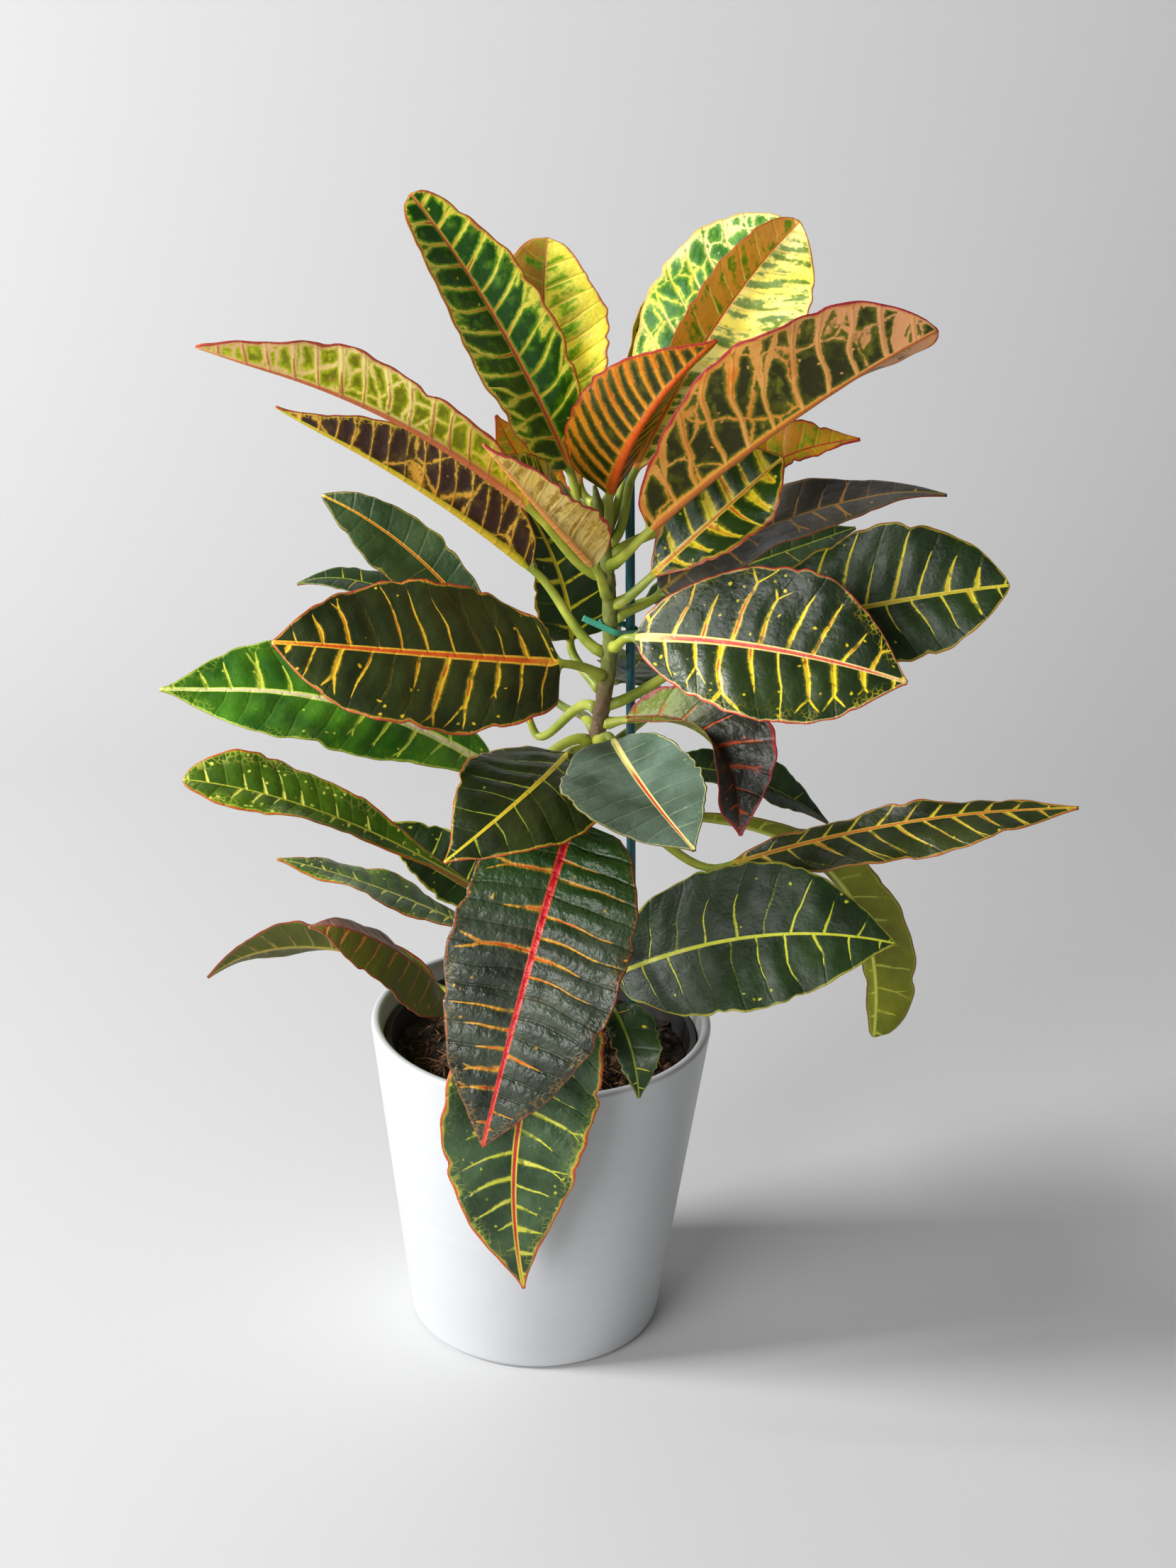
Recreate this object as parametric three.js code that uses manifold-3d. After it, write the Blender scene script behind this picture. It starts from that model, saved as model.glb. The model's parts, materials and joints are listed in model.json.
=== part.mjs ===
// A potted croton: a leafy stem on a slim stake, in a black grow pot that stands in a white glazed pot.
// Millimetres, +Z up; the origin is the centre of the glazed pot's underside.
import * as THREE from "three";
import initManifold from "manifold-3d";

const manifold = await initManifold();
manifold.setup();
const { Manifold, CrossSection } = manifold;

const GAP = 0.3;
const ROUND_SIDES = 64;

const POT = { height: 156, rimRadius: 80, baseRadius: 60, wall: 4.5, floor: 5, edge: 2.2 };
const GROW_POT = {
  top: 147, lipRadius: 73.2, topRadius: 71.6, baseRadius: 51, wall: 1.2, floor: 1.6, lipHeight: 4,
};
const DRAIN = { count: 6, radius: 4, ring: 34 };
const SOIL = { edge: 137, crown: 142 };
const STAKE = { radius: 2.15, foot: [47, 12, 42], top: [32.5, 12, 426] };
const TIE = { height: 2.8, middle: 348, tilt: 24, band: 0.9, slack: 0.45, play: 0.9, tail: 8 };
const STAKE_SIDES = 16;
const STEM_SIDES = 12;
const STEM_PATH = [
  [0, 0, 104], [0, 0, 142], [7, 0, 200], [15, 0, 250], [22, 0, 296], [26, 0, 327], [26.5, 0, 343],
  [25.5, 0, 359], [24, 0, 376], [21.5, 0, 392], [19, 0, 404], [17.5, 0, 412],
];
const STEM_RADII = [4.6, 4.6, 4.2, 3.9, 3.6, 3.4, 3.3, 3.2, 3.1, 2.9, 2.4, 0.8];

const LEAF = {
  thickness: 0.9, stalkFoot: 2.5, stalkNeck: 1.8, rise: 0.5, tipHalf: 0.8, tipEase: 0.75, waveShift: 2.2,
};
const STALK_STEPS = [0, 0.33, 0.67, 1];
const BLADE_STEPS = [0.06, 0.14, 0.24, 0.34, 0.45, 0.56, 0.67, 0.77, 0.86, 0.94, 1];
const ACROSS = [-1, -0.5, 0, 0.5, 1];

const LEAF_TONES = {
  dark: "#2b4a2a", fresh: "#4f7d2e", young: "#c2b83c", gold: "#b0823c", copper: "#b5662b", olive: "#67702c",
  plum: "#5a4038",
};

// One row for each leaf, from the crown down. tone: its main colour; at: height of its stalk on the stem;
// base, middle, tip: points on the midrib; face: where the upper side looks; half: widths left and right
// of the midrib; fold: degrees that each half rises; turn: degrees of twist from base to tip; widest:
// place of the greatest width along the blade; full: how slowly the width dies off; point: the same at
// the very tip; wave: height, number and start of the edge waves; hook: how far the end bends toward
// the upper side.
const LEAVES = [
  { tone: "fresh", at: 386, base: [7, 2, 417], middle: [-25, -13, 483], tip: [-61, -20, 536],
    face: [0.25, -0.95, 0.3], half: [27, 22], fold: [37, 10], turn: 0,
    widest: 0.42, full: 0.6, wave: [1.5, 1.5, 0], hook: 0, point: 0.5 },
  { tone: "dark", at: 396, base: [8, 12, 402], middle: [-10, 20, 411], tip: [-26, 20, 437],
    face: [0.45, -0.75, 0.45], half: [15, 13], fold: [15, 15], turn: 0,
    widest: 0.5, full: 0.8, wave: [2, 2, 0], hook: 0, point: 1.2 },
  { tone: "young", at: 404, base: [12, 6, 408], middle: [-4, 14, 465], tip: [-5, 12, 515],
    face: [0, -0.95, 0.3], half: [27, 28], fold: [15, 10], turn: 0,
    widest: 0.59, full: 0.89, wave: [2, 2, 1], hook: 0, point: 0.5 },
  { tone: "young", at: 400, base: [32, 40, 413], middle: [53, 48, 479], tip: [93, 46, 522],
    face: [-0.4, 0.85, 0.3], half: [22, 17], fold: [10, 10], turn: 0,
    widest: 0.55, full: 0.75, wave: [1, 2, 0], hook: 0, point: 0.8 },
  { tone: "young", at: 391, base: [32, 20, 413], middle: [60, 26, 479], tip: [94, 26, 524],
    face: [-0.2, -0.9, 0.35], half: [25, 26], fold: [5, 10], turn: 0,
    widest: 0.58, full: 0.7, wave: [1, 2, 0], hook: 0, point: 0.8 },
  { tone: "young", at: 386, base: [34, 7, 415], middle: [66, 0, 482], tip: [99, -4, 527],
    face: [-0.3, -0.9, 0.35], half: [19, 34], fold: [60, 5], turn: 0,
    widest: 0.63, full: 0.65, wave: [2, 2.5, 0], hook: 0, point: 0.7 },
  { tone: "copper", at: 394, base: [24, -9, 410], middle: [38, -24, 448], tip: [65, -34, 483],
    face: [0.1, 0.9, 0.5], half: [20, 29], fold: [60, 12], turn: 0,
    widest: 0.36, full: 0.75, wave: [2, 1.5, 0], hook: 0, point: 1.2 },
  { tone: "copper", at: 377, base: [40, -20, 397], middle: [93, -38, 449], tip: [152, -52, 493],
    face: [-0.3, 0.95, 0.3], half: [28, 44], fold: [50, 4], turn: 0,
    widest: 0.58, full: 0.48, wave: [2, 2, 0], hook: 0, point: 0.65 },
  { tone: "gold", at: 372, base: [-9, -18, 405], middle: [-73, -44, 452], tip: [-144, -58, 477],
    face: [0, 0.55, 0.83], half: [19, 21], fold: [55, 42], turn: 0,
    widest: 0.5, full: 0.63, wave: [2, 2, 0], hook: 2.5, point: 0.7 },
  { tone: "plum", at: 336, base: [-8, 4, 372], middle: [-62, -6, 413], tip: [-118, -12, 444],
    face: [0, 0.55, 0.83], half: [22, 19], fold: [58, 42], turn: 0,
    widest: 0.38, full: 0.75, wave: [1.5, 2, 0], hook: 1.5, point: 1.3 },
  { tone: "gold", at: 364, base: [18, -24, 383], middle: [-4, -50, 413], tip: [-29, -62, 444],
    face: [0.45, 0.5, 0.75], half: [16, 36], fold: [60, 50], turn: 0,
    widest: 0.28, full: 0.75, wave: [2, 1.5, 0], hook: 0, point: 1.2 },
  { tone: "dark", at: 359, base: [43, -5, 373], middle: [71, -4, 401], tip: [98, -2, 427],
    face: [-0.3, -0.85, 0.45], half: [27, 21], fold: [12, 18], turn: 0,
    widest: 0.6, full: 0.7, wave: [2, 2, 0], hook: 0, point: 0.9 },
  { tone: "copper", at: 381, base: [86, 14, 411], middle: [104, 16, 424], tip: [133, 18, 431],
    face: [0, -0.6, 0.8], half: [15, 7], fold: [20, 20], turn: 0,
    widest: 0.42, full: 0.8, wave: [2, 2, 0], hook: 0, point: 1.2 },
  { tone: "dark", at: 352, base: [47, 10, 360], middle: [101, 14, 394], tip: [172, 10, 413],
    face: [0, -0.45, 0.9], half: [23, 19], fold: [0, 12], turn: 8,
    widest: 0.37, full: 0.75, wave: [2, 2, 0], hook: -5, point: 1.05 },
  { tone: "dark", at: 336, base: [42, 52, 344], middle: [92, 60, 361], tip: [140, 66, 378],
    face: [0.1, -0.5, 0.85], half: [20, 20], fold: [10, 10], turn: 0,
    widest: 0.5, full: 0.8, wave: [2, 2, 0], hook: 0, point: 1.2 },
  { tone: "dark", at: 312, base: [85, 8, 343], middle: [140, 2, 360], tip: [200, -6, 374],
    face: [0, -0.85, 0.5], half: [34, 28], fold: [10, 5], turn: 0,
    widest: 0.58, full: 0.55, wave: [2.5, 2, 0], hook: -1.5, point: 0.75 },
  { tone: "dark", at: 340, base: [35, -14, 348], middle: [92, -36, 352], tip: [152, -48, 342],
    face: [0, -0.85, 0.5], half: [36, 33], fold: [8, 8], turn: 0,
    widest: 0.54, full: 0.62, wave: [2, 2, 0], hook: 0, point: 1.1 },
  { tone: "dark", at: 326, base: [6, -16, 336], middle: [-55, -40, 347], tip: [-117, -52, 355],
    face: [0, -0.75, 0.65], half: [37, 34], fold: [8, 0], turn: 0,
    widest: 0.46, full: 0.41, wave: [2.5, 2, 0], hook: -1.5, point: 0.95 },
  { tone: "dark", at: 308, base: [-7, 33, 287], middle: [-46, 37, 352], tip: [-104, 35, 396],
    face: [-0.1, -0.85, 0.5], half: [17, 14], fold: [14, 15], turn: 0,
    widest: 0.67, full: 0.7, wave: [2, 2, 0], hook: -3, point: 0.9 },
  { tone: "fresh", at: 294, base: [-21, -10, 281], middle: [-92, -26, 319], tip: [-167, -34, 323],
    face: [0, -0.6, 0.8], half: [27, 28], fold: [8, 12], turn: 0,
    widest: 0.55, full: 0.65, wave: [1.5, 2, 0], hook: 5, point: 1.3 },
  { tone: "dark", at: 298, base: [1, 44, 299], middle: [-60, 54, 340], tip: [-118, 60, 349],
    face: [0, -0.4, 0.9], half: [15, 12], fold: [14, 10], turn: 0,
    widest: 0.5, full: 0.75, wave: [1.5, 2, 0], hook: -4, point: 1.2 },
  { tone: "dark", at: 318, base: [9, 19, 335], middle: [3, 21, 365], tip: [-14, 27, 398],
    face: [0.3, -0.8, 0.5], half: [20, 24], fold: [26, 10], turn: 0,
    widest: 0.31, full: 0.8, wave: [2, 2, 0], hook: 0, point: 1.2 },
  { tone: "dark", at: 290, base: [9, -24, 297], middle: [-10, -64, 292], tip: [-42, -92, 273],
    face: [-0.1, -0.45, 0.9], half: [32, 32], fold: [-5, 5], turn: 0,
    widest: 0.38, full: 0.65, wave: [2, 1.5, 0], hook: 0, point: 1.2 },
  { tone: "dark", at: 296, base: [28, -26, 305], middle: [42, -76, 300], tip: [60, -122, 294],
    face: [-0.1, -0.3, 0.95], half: [25, 36], fold: [25, 12], turn: 0,
    widest: 0.5, full: 0.65, wave: [2, 1.5, 0], hook: 0, point: 1.2 },
  { tone: "olive", at: 304, base: [33, -4, 306], middle: [71, -18, 304], tip: [86, -34, 264],
    face: [-0.2, 0.1, 1], half: [24, 24], fold: [60, 30], turn: 60,
    widest: 0.58, full: 0.65, wave: [2, 2, 0], hook: 0, point: 1.2 },
  { tone: "fresh", at: 284, base: [47, 42, 292], middle: [60, 78, 286], tip: [74, 108, 273],
    face: [0, -0.3, 0.95], half: [14, 14], fold: [10, 10], turn: 0,
    widest: 0.45, full: 0.8, wave: [2, 2, 0], hook: 0, point: 1.2 },
  { tone: "dark", at: 322, base: [30, 40, 309], middle: [39, 68, 305], tip: [47, 92, 307],
    face: [0, -0.6, 0.8], half: [16, 16], fold: [10, 10], turn: 0,
    widest: 0.45, full: 0.8, wave: [2, 2, 0], hook: 0, point: 1.2 },
  { tone: "dark", at: 273, base: [53, 42, 266], middle: [95, 44, 260], tip: [134, 44, 239],
    face: [0, -0.4, 0.9], half: [14, 14], fold: [20, 20], turn: 0,
    widest: 0.5, full: 0.8, wave: [2, 2, 0], hook: 0, point: 1.2 },
  { tone: "olive", at: 280, base: [59, -2, 260], middle: [135, 0, 230], tip: [156, -8, 151],
    face: [0.1, 0.8, 0.6], half: [6, 20], fold: [15, 6], turn: 0,
    widest: 0.74, full: 0.36, wave: [2, 2, 0], hook: 1.5, point: 0.45 },
  { tone: "dark", at: 264, base: [81, -18, 242], middle: [159, -34, 272], tip: [231, -46, 285],
    face: [0, -0.5, 0.85], half: [9, 21], fold: [15, 5], turn: 0,
    widest: 0.45, full: 0.7, wave: [2, 2.5, 0], hook: 1.5, point: 1.2 },
  { tone: "dark", at: 200, base: [30, -40, 196], middle: [91, -62, 228], tip: [152, -74, 232],
    face: [0, -0.75, 0.65], half: [34, 34], fold: [5, 5], turn: 0,
    widest: 0.45, full: 0.7, wave: [2.5, 2, 0], hook: 0, point: 1.05 },
  { tone: "dark", at: 172, base: [31, -66, 195], middle: [39, -84, 184], tip: [43, -94, 165],
    face: [0.1, -0.85, 0.5], half: [14, 8], fold: [10, 10], turn: 0,
    widest: 0.4, full: 0.8, wave: [2, 2, 0], hook: 0, point: 1.2 },
  { tone: "dark", at: 256, base: [12, -44, 276], middle: [-6, -92, 225], tip: [-24, -106, 146],
    face: [-0.1, -0.9, 0.4], half: [41, 36], fold: [5, 8], turn: 0,
    widest: 0.42, full: 0.5, wave: [2.5, 2, 0], hook: 0, point: 1 },
  { tone: "dark", at: 214, base: [12, -72, 209], middle: [-9, -94, 149], tip: [-5, -92, 66],
    face: [0, -0.95, 0.2], half: [32, 35], fold: [5, 10], turn: 0,
    widest: 0.38, full: 0.6, wave: [2, 2, 0], hook: 0, point: 1.2 },
  { tone: "fresh", at: 264, base: [-22, -18, 222], middle: [-91, -40, 270], tip: [-157, -46, 289],
    face: [0, -0.4, 0.9], half: [14, 19], fold: [15, 23], turn: 0,
    widest: 0.72, full: 0.73, wave: [3, 2, 0.1], hook: 0, point: 0.55 },
  { tone: "dark", at: 248, base: [-25, -6, 198], middle: [-74, -10, 223], tip: [-121, -14, 239],
    face: [0, -0.12, 0.98], half: [15, 16], fold: [8, 0], turn: 0,
    widest: 0.5, full: 0.73, wave: [2, 2, 0], hook: 0, point: 1.2 },
  { tone: "olive", at: 220, base: [-49, 26, 156], middle: [-107, 30, 175], tip: [-161, 34, 158],
    face: [0, 0.75, 0.65], half: [17, 18], fold: [15, 15], turn: 0,
    widest: 0.45, full: 0.75, wave: [2, 2, 0], hook: -3, point: 1.2 },
  { tone: "plum", at: 212, base: [-38, -20, 164], middle: [-63, -42, 206], tip: [-103, -56, 229],
    face: [0, 0, 1], half: [22, 22], fold: [-46, 0], turn: 0,
    widest: 0.45, full: 0.7, wave: [2, 2, 0], hook: -4, point: 1.2 },
  { tone: "dark", at: 329, base: [40, 50, 318], middle: [71, 86, 307], tip: [105, 116, 296],
    face: [0, -0.3, 0.95], half: [21, 21], fold: [10, 10], turn: 0,
    widest: 0.45, full: 0.8, wave: [2, 2, 0], hook: 0, point: 1.2 },
  { tone: "dark", at: 262, base: [40, 45, 255], middle: [50, 85, 235], tip: [61, 120, 214],
    face: [0, -0.3, 0.95], half: [24, 24], fold: [10, 10], turn: 0,
    widest: 0.45, full: 0.8, wave: [2, 2, 0], hook: 0, point: 1.2 },
  { tone: "dark", at: 244, base: [7, 40, 234], middle: [-14, 80, 213], tip: [-28, 112, 180],
    face: [0, -0.3, 0.95], half: [26, 26], fold: [10, 10], turn: 0,
    widest: 0.45, full: 0.8, wave: [2, 2, 0], hook: 0, point: 1.2 },
  { tone: "dark", at: 226, base: [21, 35, 207], middle: [11, 70, 184], tip: [1, 100, 150],
    face: [0, -0.3, 0.95], half: [24, 24], fold: [10, 10], turn: 0,
    widest: 0.45, full: 0.8, wave: [2, 2, 0], hook: 0, point: 1.2 },
  { tone: "dark", at: 238, base: [-17, 44, 187], middle: [-48, 52, 208], tip: [-78, 56, 229],
    face: [0, -0.55, 0.8], half: [17, 17], fold: [10, 20], turn: 0,
    widest: 0.5, full: 0.8, wave: [2, 2, 0], hook: 0, point: 1.2 },
];

const vec = ([x, y, z]) => new THREE.Vector3(x, y, z);
const radians = THREE.MathUtils.degToRad;
const mix = (a, b, t) => a + (b - a) * t;

const MATERIALS = {
  glaze: new THREE.MeshStandardMaterial({ color: "#e9ebee", roughness: 0.25, metalness: 0 }),
  blackPlastic: new THREE.MeshStandardMaterial({ color: "#17181a", roughness: 0.5, metalness: 0 }),
  soil: new THREE.MeshStandardMaterial({ color: "#3a2a1c", roughness: 0.95, metalness: 0 }),
  bark: new THREE.MeshStandardMaterial({ color: "#6f5a3a", roughness: 0.8, metalness: 0 }),
  stake: new THREE.MeshStandardMaterial({ color: "#1f5a5f", roughness: 0.4, metalness: 0 }),
  tie: new THREE.MeshStandardMaterial({ color: "#3d9a7d", roughness: 0.4, metalness: 0 }),
};
const leafMaterials = Object.fromEntries(Object.entries(LEAF_TONES).map(([tone, color]) => [
  tone, new THREE.MeshStandardMaterial({ color, roughness: 0.4, metalness: 0 }),
]));

function meshOf(name, geometry, material) {
  const mesh = new THREE.Mesh(geometry, material);
  mesh.name = name;
  return mesh;
}

function geometryOf(points, triangles) {
  const geometry = new THREE.BufferGeometry();
  const numbers = points.flatMap((p) => p.toArray());
  geometry.setAttribute("position", new THREE.Float32BufferAttribute(numbers, 3));
  geometry.setIndex(triangles);
  geometry.computeVertexNormals();
  return geometry;
}

function solidGeometry(solid) {
  const { vertProperties, triVerts, numProp } = solid.getMesh();
  const points = [];
  for (let i = 0; i < vertProperties.length; i += numProp) {
    points.push(new THREE.Vector3(vertProperties[i], vertProperties[i + 1], vertProperties[i + 2]));
  }
  return geometryOf(points, Array.from(triVerts));
}

function turned(profile) {
  return new CrossSection([profile], "Positive").revolve(ROUND_SIDES);
}

// Glazed pot: a tapered cup with a rounded lip and a softened foot.
function potSolid() {
  const { height, rimRadius, baseRadius, wall, floor, edge } = POT;
  const outer = (z) => mix(baseRadius, rimRadius, z / height);
  const inner = (z) => outer(z) - wall;
  return turned([
    [0, 0], [baseRadius - edge, 0], [outer(0) - edge * 0.3, edge * 0.3], [outer(edge), edge],
    [outer(height - edge), height - edge], [rimRadius - edge * 0.3, height - edge * 0.3],
    [rimRadius - wall / 2, height], [inner(height) + edge * 0.3, height - edge * 0.3],
    [inner(height - edge), height - edge], [inner(floor + edge), floor + edge],
    [inner(floor) - edge, floor], [0, floor],
  ]);
}

// Grow pot: a thin cup with an outturned lip and a ring of drain holes, standing in the glazed pot.
function growPotSolid() {
  const low = POT.floor + GAP;
  const { top, lipRadius, topRadius, baseRadius, wall, floor, lipHeight } = GROW_POT;
  const cup = turned([
    [0, low], [baseRadius, low], [topRadius, top - lipHeight], [lipRadius, top - lipHeight], [lipRadius, top],
    [topRadius - wall, top], [baseRadius - wall, low + floor], [0, low + floor],
  ]);
  const drill = Manifold.cylinder(floor * 3, DRAIN.radius, DRAIN.radius, 16)
    .translate([DRAIN.ring, 0, low - floor]);
  const holes = [];
  for (let i = 0; i < DRAIN.count; i += 1) {
    holes.push(drill.rotate([0, 0, (360 / DRAIN.count) * i]));
  }
  return cup.subtract(Manifold.union(holes));
}

// Rings of points joined into one closed skin, its ends closed by strips from one half of the ring to the
// other; flip holds the quads whose diagonal runs the other way.
function skin(rings, flip = () => false) {
  const size = rings[0].length;
  const points = rings.flat();
  const triangles = [];
  for (let r = 0; r + 1 < rings.length; r += 1) {
    for (let i = 0; i < size; i += 1) {
      const a = r * size + i;
      const b = r * size + ((i + 1) % size);
      const c = b + size;
      const d = a + size;
      triangles.push(...(flip(i) ? [a, b, d, b, c, d] : [a, b, c, a, c, d]));
    }
  }
  const last = (rings.length - 1) * size;
  for (let i = 0; i + 1 < size / 2; i += 1) {
    const [a, b, c, d] = [i, i + 1, size - 2 - i, size - 1 - i];
    triangles.push(a, c, b, a, d, c, last + a, last + b, last + c, last + a, last + c, last + d);
  }
  return { points, triangles };
}

function tube(path, radii, sides) {
  const rings = path.map((p, i) => {
    const before = path[Math.max(i - 1, 0)];
    const after = path[Math.min(i + 1, path.length - 1)];
    const along = after.clone().sub(before).normalize();
    const across = new THREE.Vector3(0, 1, 0).cross(along).normalize();
    const third = along.clone().cross(across);
    return Array.from({ length: sides }, (_, k) => {
      const angle = (2 * Math.PI * k) / sides;
      return p.clone()
        .addScaledVector(across, radii[i] * Math.cos(angle))
        .addScaledVector(third, radii[i] * Math.sin(angle));
    });
  });
  return skin(rings);
}

function tubeSolid({ points, triangles }) {
  return new Manifold(new manifold.Mesh({
    numProp: 3,
    vertProperties: new Float32Array(points.flatMap((p) => [p.x, p.y, p.z])),
    triVerts: new Uint32Array(triangles),
  }));
}

// Place on the stem at a height: the axis point, its radius and the way the axis runs.
const stemAt = (height) => {
  const next = Math.max(1, STEM_PATH.findIndex((p) => p[2] >= height));
  const [low, high] = [STEM_PATH[next - 1], STEM_PATH[next]];
  const t = (height - low[2]) / (high[2] - low[2]);
  return {
    point: vec(low).lerp(vec(high), t),
    radius: mix(STEM_RADII[next - 1], STEM_RADII[next], t),
    axis: vec(high).sub(vec(low)).normalize(),
  };
};

const stakeAt = (height) => {
  const { foot, top } = STAKE;
  return vec(foot).lerp(vec(top), (height - foot[2]) / (top[2] - foot[2]));
};

// Soil: fills the grow pot, slightly domed, with a socket for the stem and one for the stake.
function soilSolid() {
  const { top, topRadius, baseRadius, wall, floor } = GROW_POT;
  const low = POT.floor + GAP + floor;
  const inner = (z) => mix(baseRadius, topRadius, (z - low) / (top - low)) - wall - GAP;
  const body = turned([
    [0, low + GAP], [inner(low), low + GAP], [inner(SOIL.edge), SOIL.edge],
    [inner(SOIL.edge) * 0.66, mix(SOIL.edge, SOIL.crown, 0.6)], [inner(SOIL.edge) * 0.3, SOIL.crown],
    [0, SOIL.crown],
  ]);
  const stemFoot = vec(STEM_PATH[0]);
  const socket = STEM_RADII[0] + GAP;
  const stemHole = Manifold.cylinder(80, socket, socket, STEM_SIDES * 2)
    .translate([stemFoot.x, stemFoot.y, stemFoot.z - GAP]);
  const bore = STAKE.radius + GAP;
  const stakeHole = tube([stakeAt(STAKE.foot[2] - GAP), stakeAt(SOIL.crown + 20)], [bore, bore], STAKE_SIDES);
  return body.subtract(stemHole).subtract(tubeSolid(stakeHole));
}

// Tie: one flat band round the stem and the stake, sloping down to the stake, with a short tail.
function tieSolid() {
  const stem = stemAt(TIE.middle);
  const stake = stakeAt(TIE.middle).sub(stem.point);
  const disc = (x, y, radius) => CrossSection.circle(radius, 24).translate([x, y]);
  const loop = (extra) => CrossSection.hull([-TIE.play, TIE.play].flatMap((play) => [
    disc(play, 0, stem.radius + extra), disc(stake.x + play, stake.y, STAKE.radius + extra),
  ]));
  const reach = stem.radius + TIE.slack;
  const tail = CrossSection.square([TIE.tail + reach, TIE.band])
    .translate([-reach - TIE.tail, -reach - TIE.band]);
  const band = loop(TIE.slack + TIE.band).add(tail).subtract(loop(TIE.slack));
  return band
    .scale([1 / Math.cos(radians(TIE.tilt)), 1])
    .extrude(TIE.height)
    .translate([0, 0, -TIE.height / 2])
    .rotate([0, TIE.tilt, 0])
    .translate(stem.point.toArray());
}

// Midrib: a parabola through base, middle and tip, with the end bent toward the upper side.
function midrib(leaf, u) {
  const bend = Math.max(0, (u - 0.8) / 0.2) ** 2;
  return vec(leaf.base)
    .multiplyScalar((1 - u) * (1 - 2 * u))
    .addScaledVector(vec(leaf.middle), 4 * u * (1 - u))
    .addScaledVector(vec(leaf.tip), u * (2 * u - 1))
    .addScaledVector(vec(leaf.face).normalize(), leaf.hook * bend);
}

// Directions at place u: along the midrib, across to the right, and out of the upper side.
function frame(leaf, u) {
  const along = midrib(leaf, u + 0.01).sub(midrib(leaf, u - 0.01)).normalize();
  const right = along.clone().cross(vec(leaf.face)).normalize();
  const up = right.clone().cross(along);
  const turn = radians(leaf.turn) * (u - 0.5);
  return {
    along,
    right: right.clone().multiplyScalar(Math.cos(turn)).addScaledVector(up, Math.sin(turn)),
    up: up.clone().multiplyScalar(Math.cos(turn)).addScaledVector(right, -Math.sin(turn)),
  };
}

// Middle surface of the blade: u runs from base to tip, v from -1 at the left edge to 1 at the right.
function bladePoint(leaf, u, v) {
  const side = v < 0 ? 0 : 1;
  const { right, up } = frame(leaf, u);
  const power = Math.log(0.5) / Math.log(leaf.widest);
  const place = Math.min(1, Math.max(0, u));
  const shape = Math.sin(Math.PI * place ** power) ** mix(leaf.full, leaf.point, place ** 5);
  const half = LEAF.tipHalf + (leaf.half[side] - LEAF.tipHalf) * shape;
  const fold = radians(leaf.fold[side]) * (1 - LEAF.tipEase * place ** 12);
  const [height, count, start] = leaf.wave;
  const ripple = height * shape * v * v * Math.sin(2 * Math.PI * (count * u + start) + side * LEAF.waveShift);
  return midrib(leaf, u)
    .addScaledVector(right, half * v * Math.cos(fold))
    .addScaledVector(up, half * Math.abs(v) * Math.sin(fold) + ripple);
}

function bladeRing(leaf, u) {
  const step = 0.02;
  const half = LEAF.thickness / 2;
  const layer = (sign) => ACROSS.map((v) => {
    const du = bladePoint(leaf, u + step, v).sub(bladePoint(leaf, u - step, v));
    const dv = bladePoint(leaf, u, v + step).sub(bladePoint(leaf, u, v - step));
    return bladePoint(leaf, u, v).addScaledVector(dv.cross(du).normalize(), sign * half);
  });
  const keel = ACROSS.map((v) => (v === 0 ? LEAF.stalkNeck * (1 - u) : 0));
  const under = layer(-1).map((p, i) => p.addScaledVector(frame(leaf, u).up, -keel[i]));
  return [...layer(1), ...under.reverse()];
}

// Stalk: leaves the stem outward and a little upward, and arrives along the midrib.
function stalkRings(leaf) {
  const { point, radius, axis } = stemAt(leaf.at);
  const base = vec(leaf.base);
  const away = base.clone().sub(point);
  const out = away.addScaledVector(axis, -away.dot(axis)).normalize();
  const foot = point.clone().addScaledVector(out, radius + GAP);
  const first = out.clone().addScaledVector(axis, LEAF.rise).normalize();
  const { along, right } = frame(leaf, 0);
  const reach = foot.distanceTo(base);
  const path = (t) => new THREE.Vector3()
    .addScaledVector(foot, (1 + 2 * t) * (1 - t) ** 2).addScaledVector(first, reach * t * (1 - t) ** 2)
    .addScaledVector(base, t * t * (3 - 2 * t)).addScaledVector(along, reach * t * t * (t - 1));
  let side = right;
  return [...STALK_STEPS].reverse().map((t) => {
    const heading = t === 0 ? out : path(Math.min(1, t + 0.02)).sub(path(t - 0.02)).normalize();
    side = side.clone().addScaledVector(heading, -side.dot(heading)).normalize();
    const up = side.clone().cross(heading);
    const thick = mix(Math.min(LEAF.stalkFoot, 0.8 * radius), LEAF.stalkNeck, t);
    return Array.from({ length: 2 * ACROSS.length }, (_, k) => {
      const angle = radians(162 - 36 * k);
      return path(t)
        .addScaledVector(side, thick * Math.cos(angle))
        .addScaledVector(up, thick * Math.sin(angle));
    });
  }).reverse();
}

function leafSkin(leaf) {
  const rings = [...stalkRings(leaf), ...BLADE_STEPS.map((u) => bladeRing(leaf, u))];
  return skin(rings, (i) => i >= ACROSS.length);
}

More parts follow.
